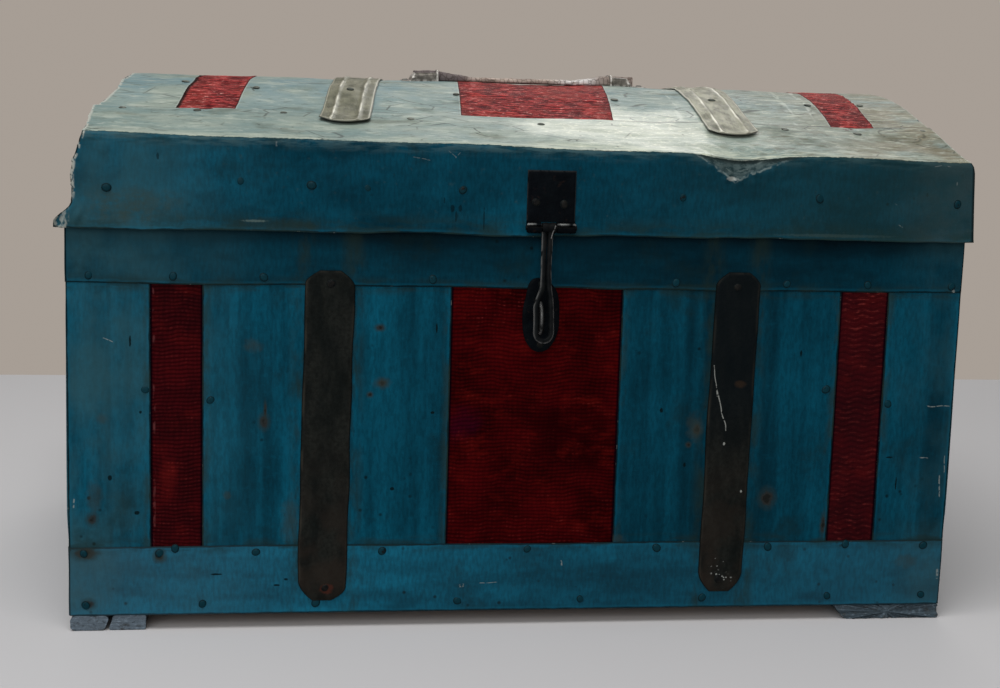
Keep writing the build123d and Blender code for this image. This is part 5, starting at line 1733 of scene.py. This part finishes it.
def staple_plate():
    """An oval plate, a little pointed at the top left, thin at its edge, beaten uneven."""
    low, high = mm_box("staple_plate")
    middle_x, middle_z = (low[0] + high[0]) / 2, (low[2] + high[2]) / 2
    half_x, half_z = (high[0] - low[0]) / 2, (high[2] - low[2]) / 2
    turn = np.linspace(0, math.tau, 72, endpoint=False)
    share = np.sqrt(spread(0, 1, 1 / 12))[1:][::-1]
    reach = 1 + 0.02 * ripple(np.cos(turn) * 30, np.sin(turn) * 30, 25, 131, 5) - 0.04 * np.cos(4 * turn)
    reach = reach - 0.1 * np.exp(-((turn - 1.1) / 0.45) ** 2) - 0.05 * np.exp(-((turn - 2.6) / 0.25) ** 2)
    u = middle_x + reach[:, None] * share * half_x * np.cos(turn)[:, None]
    v = middle_z + reach[:, None] * share * half_z * np.sin(turn)[:, None]
    out = 1.25 * (0.4 + 0.6 * np.sqrt(np.clip((1 - share) * 6, 0, 1))) + 0.15 * ripple(u, v, 15, 132)
    rows, columns = u.shape
    shell = plate(stack(u, FRONT - out, v), stack(u, FRONT, v), ring=True)
    inner_front = np.arange(rows) * columns + columns - 1
    centre = len(shell.points)
    shell.points = np.vstack([shell.points, stack(middle_x, (FRONT - 1.25, FRONT), middle_z)])
    shell.quads = shell.quads[~np.isin(np.arange(len(shell.quads)), hole_faces(rows, columns))]
    after = np.roll(inner_front, -1)
    front_fan = stack(inner_front, after, centre)
    back_fan = stack(after + rows * columns, inner_front + rows * columns, centre + 1)
    shell.tris = np.concatenate([front_fan, back_fan])
    make("staple_plate_iron", shell, plate_iron, "chest_body", ["staple_plate"])


def hole_faces(rows, columns):
    """Numbers of the faces that line the middle hole of a ring-shaped plate."""
    grid = rows * (columns - 1)
    return np.arange(2 * grid + rows, 2 * grid + 2 * rows)


staple_plate()


# --- Handle ------------------------------------------------
def handle_cap(node, inward):
    """A pressed cap: a slanting outer end, a long dome and a raised rim at the mouth, each an arch."""
    low, high = mm_box(node)
    length = high[0] - low[0]
    along = np.concatenate([spread(0, 14, 0.4), spread(14, length - 4, 1.2)[1:],
                            spread(length - 4, length, 0.25)[1:]])
    flange, dome, rim = (13, 1), (11, 7.6), (12, 9.1)
    tongue = 6 if inward > 0 else 10.5
    rise = np.clip((along - tongue) / 3.2, 0, 1) ** 0.7 * (0.86 + 0.14 * np.clip(along / length, 0, 1))
    mouth = smooth(along, length - 2.2, length - 1.6) * (1 - 0.5 * smooth(along, length - 0.6, length))
    half = flange[0] + (dome[0] - flange[0]) * rise + (rim[0] - dome[0]) * mouth
    height = flange[1] + (dome[1] - flange[1]) * rise + (rim[1] - dome[1]) * mouth
    turn = spread(0, math.pi, 0.08)
    power = 0.42
    x = (low[0] + along) if inward > 0 else (high[0] - along)
    middle = (low[1] + high[1]) / 2

    def skin(shrink):
        """The arch with a wall's thickness taken off."""
        across = np.sign(np.cos(turn)) * np.abs(np.cos(turn)) ** power
        above = np.sin(turn) ** power
        y = middle + np.maximum(half - shrink, 1)[:, None] * across
        z = low[2] + np.maximum(height - shrink, 0.05)[:, None] * above
        z = z + 0.16 * ripple(x[:, None], y, 9, 141) * above
        return stack(x[:, None], y, z)

    outer, inner = skin(0), skin(0.9)
    # Painted glints: a light line along the foot, bright bands on the slanting end and on the rim at the
    # mouth.
    foot = np.exp(-((outer[..., 2] - low[2]) / 1.1) ** 2)
    end = 0.9 * np.exp(-((along - tongue - 2.2) / 1.3) ** 2)[:, None] * (outer[..., 2] > low[2] + 2.6)
    bright = np.maximum(np.maximum(0.6 * foot, end), 0.6 * mouth[:, None])
    shell = plate(outer[::inward], inner[::inward], rib=bright[::inward])
    make(node + "_steel", shell, cap_metal, "lid", [node], crease=50)


handle_cap("handle_cap_left", 1)
handle_cap("handle_cap_right", -1)


strap_low, strap_high = mm_box("handle_strap")
strap_middle = (strap_low[0] + strap_high[0]) / 2
mouths = (mm_box("handle_cap_left")[1][0], mm_box("handle_cap_right")[0][0])


def handle_half(name, x_from, x_to, mouth):
    """Half of the leather strap: doubled and humped where it leaves its cap's mouth, thin between."""
    x = spread(x_from, x_to, 1.2)
    floor = strap_low[2] + 0.1
    left_hump = (1 - np.clip((x - mouths[0] + 4) / 32, 0, 1) ** 1.3) ** 1.2
    right_hump = smooth(x, mouths[1] - 34, mouths[1] + 2)
    sway = 0.5 * ripple(x, 0, 60, 151, 5)
    thick = 3.9 + 4.1 * left_hump + 3.9 * right_hump ** 1.5 + 0.25 * ripple(x, 0, 17, 153, 5)
    half = 9 - 1.2 * smooth(np.abs(x - 18.3), 20, 80) + 0.2 * ripple(x, 0, 24, 152, 5)
    turn = np.linspace(0, math.tau, 36, endpoint=False)
    across = np.sign(np.cos(turn)) * np.abs(np.cos(turn)) ** 0.35
    above = np.sign(np.sin(turn)) * np.abs(np.sin(turn)) ** 0.5
    y = LID_Y + sway[:, None] + half[:, None] * across
    z = (floor + thick / 2)[:, None] + (thick / 2)[:, None] * above
    z = z + 0.12 * ripple(x[:, None], y * 2, 6, 154) * np.sign(above)
    line = (LID_Y * MM, floor * MM)
    make(name, ringed(stack(x[:, None], y, z)), handle_hide, None, ["handle_strap"],
         crease=70, blend=("lid", "handle", (mouth * MM, *line), (strap_middle * MM, *line)))


handle_half("handle_strap_left_half", strap_low[0], strap_middle, mouths[0])
handle_half("handle_strap_right_half", strap_middle, strap_high[0], mouths[1])


# --- Nails -------------------------------------------------
def nail_heads(nails, seed, radius=2.45, height=0.8):
    """Round flat-topped heads, each a little different, square to what they hold down, with a rim of dirt and
    painted shade. The value ring is 0 in the middle of a head and 1 on its rim of dirt and painted shade."""
    draw = np.random.default_rng(seed)
    ring_radius = np.array([0.94, 1.2, 1, 0.95, 0.78, 0.45])
    ring_height = np.array([-0.5, 0.1, 0.3, 0.66, 0.9, 1])
    sides = 16
    turn = np.linspace(0, math.tau, sides, endpoint=False)
    # The ring value: dirt and painted shade at the rim, none in the middle.
    dirt = np.append(np.repeat([1, 1, 0.86, 0.55, 0.3, 0.1], sides), [1, 0])
    shells = []
    for place, outward in nails:
        outward = unit(outward + draw.normal(0, 0.05, 3))
        side = unit(np.cross(outward, (0, 0, 1) if abs(outward[2]) < 0.9 else (1, 0, 0)))
        up = np.cross(outward, side)
        size = radius * draw.uniform(0.88, 1.04)
        squash = 1 + 0.08 * np.cos(2 * turn + draw.uniform(0, math.tau))
        rim = size * squash * ring_radius[:, None]
        rings = (rim * np.cos(turn))[..., None] * side + (rim * np.sin(turn))[..., None] * up
        rings = place + rings + (height * ring_height)[:, None, None] * outward
        ends = place + np.array([[-0.5], [1.02]]) * height * outward
        shells.append(ringed(rings, ends, ring=dirt))
    return join(shells)


FORWARDS = (0, -1, 0)
BACKWARDS = (0, 1, 0)
BAND_NAILS = [
    (-292, 53), (-243, 53), (-233, 56), (-180, 53), (-96, 53), (3, 53.5), (93, 53.5), (172, 53.5), (228, 55),
    (285, 53.5),
]
SKIRT_NAILS = [
    (-275, 294), (-191, 300), (-146, 298), (-110, 297), (-48, 297), (99, 295), (193, 296), (290, 294),
]
WORN_STRAP_NAILS = [(-117, 111), (146, 112)]
TOP_NAILS = [
    (-270, 56), (-233, 137), (-221, 55), (-183, 118), (-164, 55), (-78.5, 49), (-41, 116.5), (10.5, 48),
    (73.5, 111), (183, 50), (218.5, 112), (235.5, 49), (260, 116), (285.5, 55), (-109, 196), (-95, 168),
    *WORN_STRAP_NAILS,
]
REAR_NAILS = [
    (-265, 51), (-190, 51), (-50, 50), (40, 51), (110, 50), (240, 52),
    (-165, 112), (-23, 112), (92, 112), (232, 112), (275, 112),
]
HINGE_FACE = BACK + 1.2
HINGE_Z = (mm_box("hinge_pins")[0][2] + mm_box("hinge_pins")[1][2]) / 2


def hinge_nails(z):
    """Two nails through each of the two hinge leaves at this height."""
    return [((x + aside, HINGE_FACE, z), BACKWARDS) for x in (-180, 180) for aside in (-18, 18)]


def body_nails():
    """The body's nails and their directions: rows along the front's bands, single ones in its sheets and
    straps, two in the staple's plate, rows on the two bands of the ends and the back, and the hinges'."""
    top, foot = 237.5, 17.5
    front = [(x, FRONT, top) for x in (-287, -234, -176, -66, 98, 175, 232, 292)]
    front += [(x, FRONT, z) for x, z in BAND_NAILS]
    front += [(x, FRONT, foot) for x in (-291, -215, -140, -44, 41, 127, 217, 286)]
    front += [(x, FRONT + 0.3, z) for x, z in ((-252, 163), (-210, 156), (207, 165), (252, 155))]
    front += [(x, FRONT - 1.2, z) for x, z in ((-134, 28), (-132.5, 234), (140.5, 235), (137.5, 31))]
    front += [(6.85, FRONT - 1.2, z) for z in (195.3, 235.3)]
    nails = [(place, FORWARDS) for place in front]
    for z in (top, 53):
        for share in (-0.44, -0.15, 0.15, 0.44):
            y = (FRONT + BACK) / 2 + share * (BACK - FRONT)
            nails += [((LEFT - LEFT_SWELL, y, z), (-1, 0, 0)), ((RIGHT, y, z), (1, 0, 0))]
        nails += [((share * (RIGHT - LEFT), BACK, z), BACKWARDS) for share in (-0.47, -0.18, 0, 0.18, 0.47)]
    return nails + hinge_nails(HINGE_Z - 24)


def lid_edge_nails():
    """The nails of the lid's skirt, its back, the hasp's plate and the hinges, and their directions."""
    nails = [((x, LID_FRONT, z), FORWARDS) for x, z in SKIRT_NAILS]
    nails += [((x, LID_BACK, 296.5), BACKWARDS) for x in (-275, -100, 0, 100, 275)]
    nails += [((x, LID_FRONT - 1.2, z), FORWARDS) for x, z in ((0.3, 290), (18.9, 289))]
    return nails + hinge_nails(HINGE_Z + 24)


def lid_top_nails():
    """The nails of the lid's top, placed backwards from the body's front, or forwards from as far behind
    the lid's middle, each square to the slope there, and one in each of the handle's caps."""
    spots = TOP_NAILS + [(x, 2 * (LID_Y - FRONT) - y) for x, y in REAR_NAILS]
    nails = []
    for x, y in spots:
        depth = FRONT + y
        strap = 1.5 if (x, y) in WORN_STRAP_NAILS else 0
        rise = (barrel(depth + 1) - barrel(depth - 1)) / 2
        nails.append(((x, depth, lid_height(x, depth) + strap - 0.2), (0, -rise, 1)))
    left, right = mm_box("handle_cap_left")[0], mm_box("handle_cap_right")
    for x, z in ((left[0] + 2.6, left[2]), (right[1][0] - 2.6, right[0][2])):
        nails.append(((x, LID_Y, z + 1.1), (0, 0, 1)))
    return nails


make("body_nail_heads", nail_heads(body_nails(), 161), body_nail_iron, "chest_body",
     ["body_nails"], crease=45)
lid_heads = join([nail_heads(lid_edge_nails(), 162), nail_heads(lid_top_nails(), 163)])
make("lid_nail_heads", lid_heads, lid_nail_iron, "lid", ["lid_nails"], crease=45)


# --- Hinges: the CAD pieces keep their shape and get their finish ----
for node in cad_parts:
    if node.startswith("hinge_"):
        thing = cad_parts[node]
        for material_slot in thing.material_slots:
            material_slot.material = hinge_iron
        if not thing.material_slots:
            thing.data.materials.append(hinge_iron)


# --- Stage -------------------------------------------------
def stage_plane(name, corners, material):
    """One four-cornered face of the stage."""
    mesh = bpy.data.meshes.new(name)
    mesh.from_pydata(corners, [], [(0, 1, 2, 3)])
    mesh.materials.append(material)
    thing = bpy.data.objects.new(name, mesh)
    bpy.context.scene.collection.objects.link(thing)


WALL_Y = 0.75
stage_plane("floor", [(-4, -4, 0), (4, -4, 0), (4, WALL_Y, 0), (-4, WALL_Y, 0)],
            plain_stage("floor_board", (0.54, 0.53, 0.535), 0.6))


def area_light(name, place, target, size, power, color=(1, 1, 1)):
    """A rectangular lamp that shines from its place towards a target, itself unseen."""
    data = bpy.data.lights.new(name, "AREA")
    data.shape = "RECTANGLE"
    data.size, data.size_y = size
    data.energy = power
    data.color = color
    lamp = bpy.data.objects.new(name, data)
    lamp.visible_camera = False
    ahead = unit(np.subtract(target, place))
    side = unit(np.cross(ahead, (0, 0, 1)))
    stand(lamp, place, side, np.cross(side, ahead), -ahead)


area_light("rear_window", (0.58, 1.72, 1.43), (0.09, -0.13, 0.34), (1.1, 0.6), 7, (1, 0.99, 0.96))
area_light("overhead_light", (-0.4, -0.75, 2.1), (0, 0, 0.25), (1.6, 1), 30)
area_light("front_fill", (-0.9, -2.6, 1.3), (0, 0, 0.2), (2.4, 1.6), 36, (0.97, 0.99, 1))

world = bpy.data.worlds.new("soft_room")
bpy.context.scene.world = world
world.use_nodes = True
WALL_TONE = (0.385, 0.34, 0.3)
ROOM_TONE = (0.27, 0.27, 0.27)
sky = Nodes(world.node_tree)
seen = sky.node("LightPath", output="Is Camera Ray").most(sky.node("LightPath", output="Is Glossy Ray"))
background = sky.tree.nodes["Background"].inputs
sky.plug(background["Color"], sky.mix(seen, ROOM_TONE, WALL_TONE))
background["Strength"].default_value = 1
bpy.context.scene.view_settings.view_transform = "Standard"
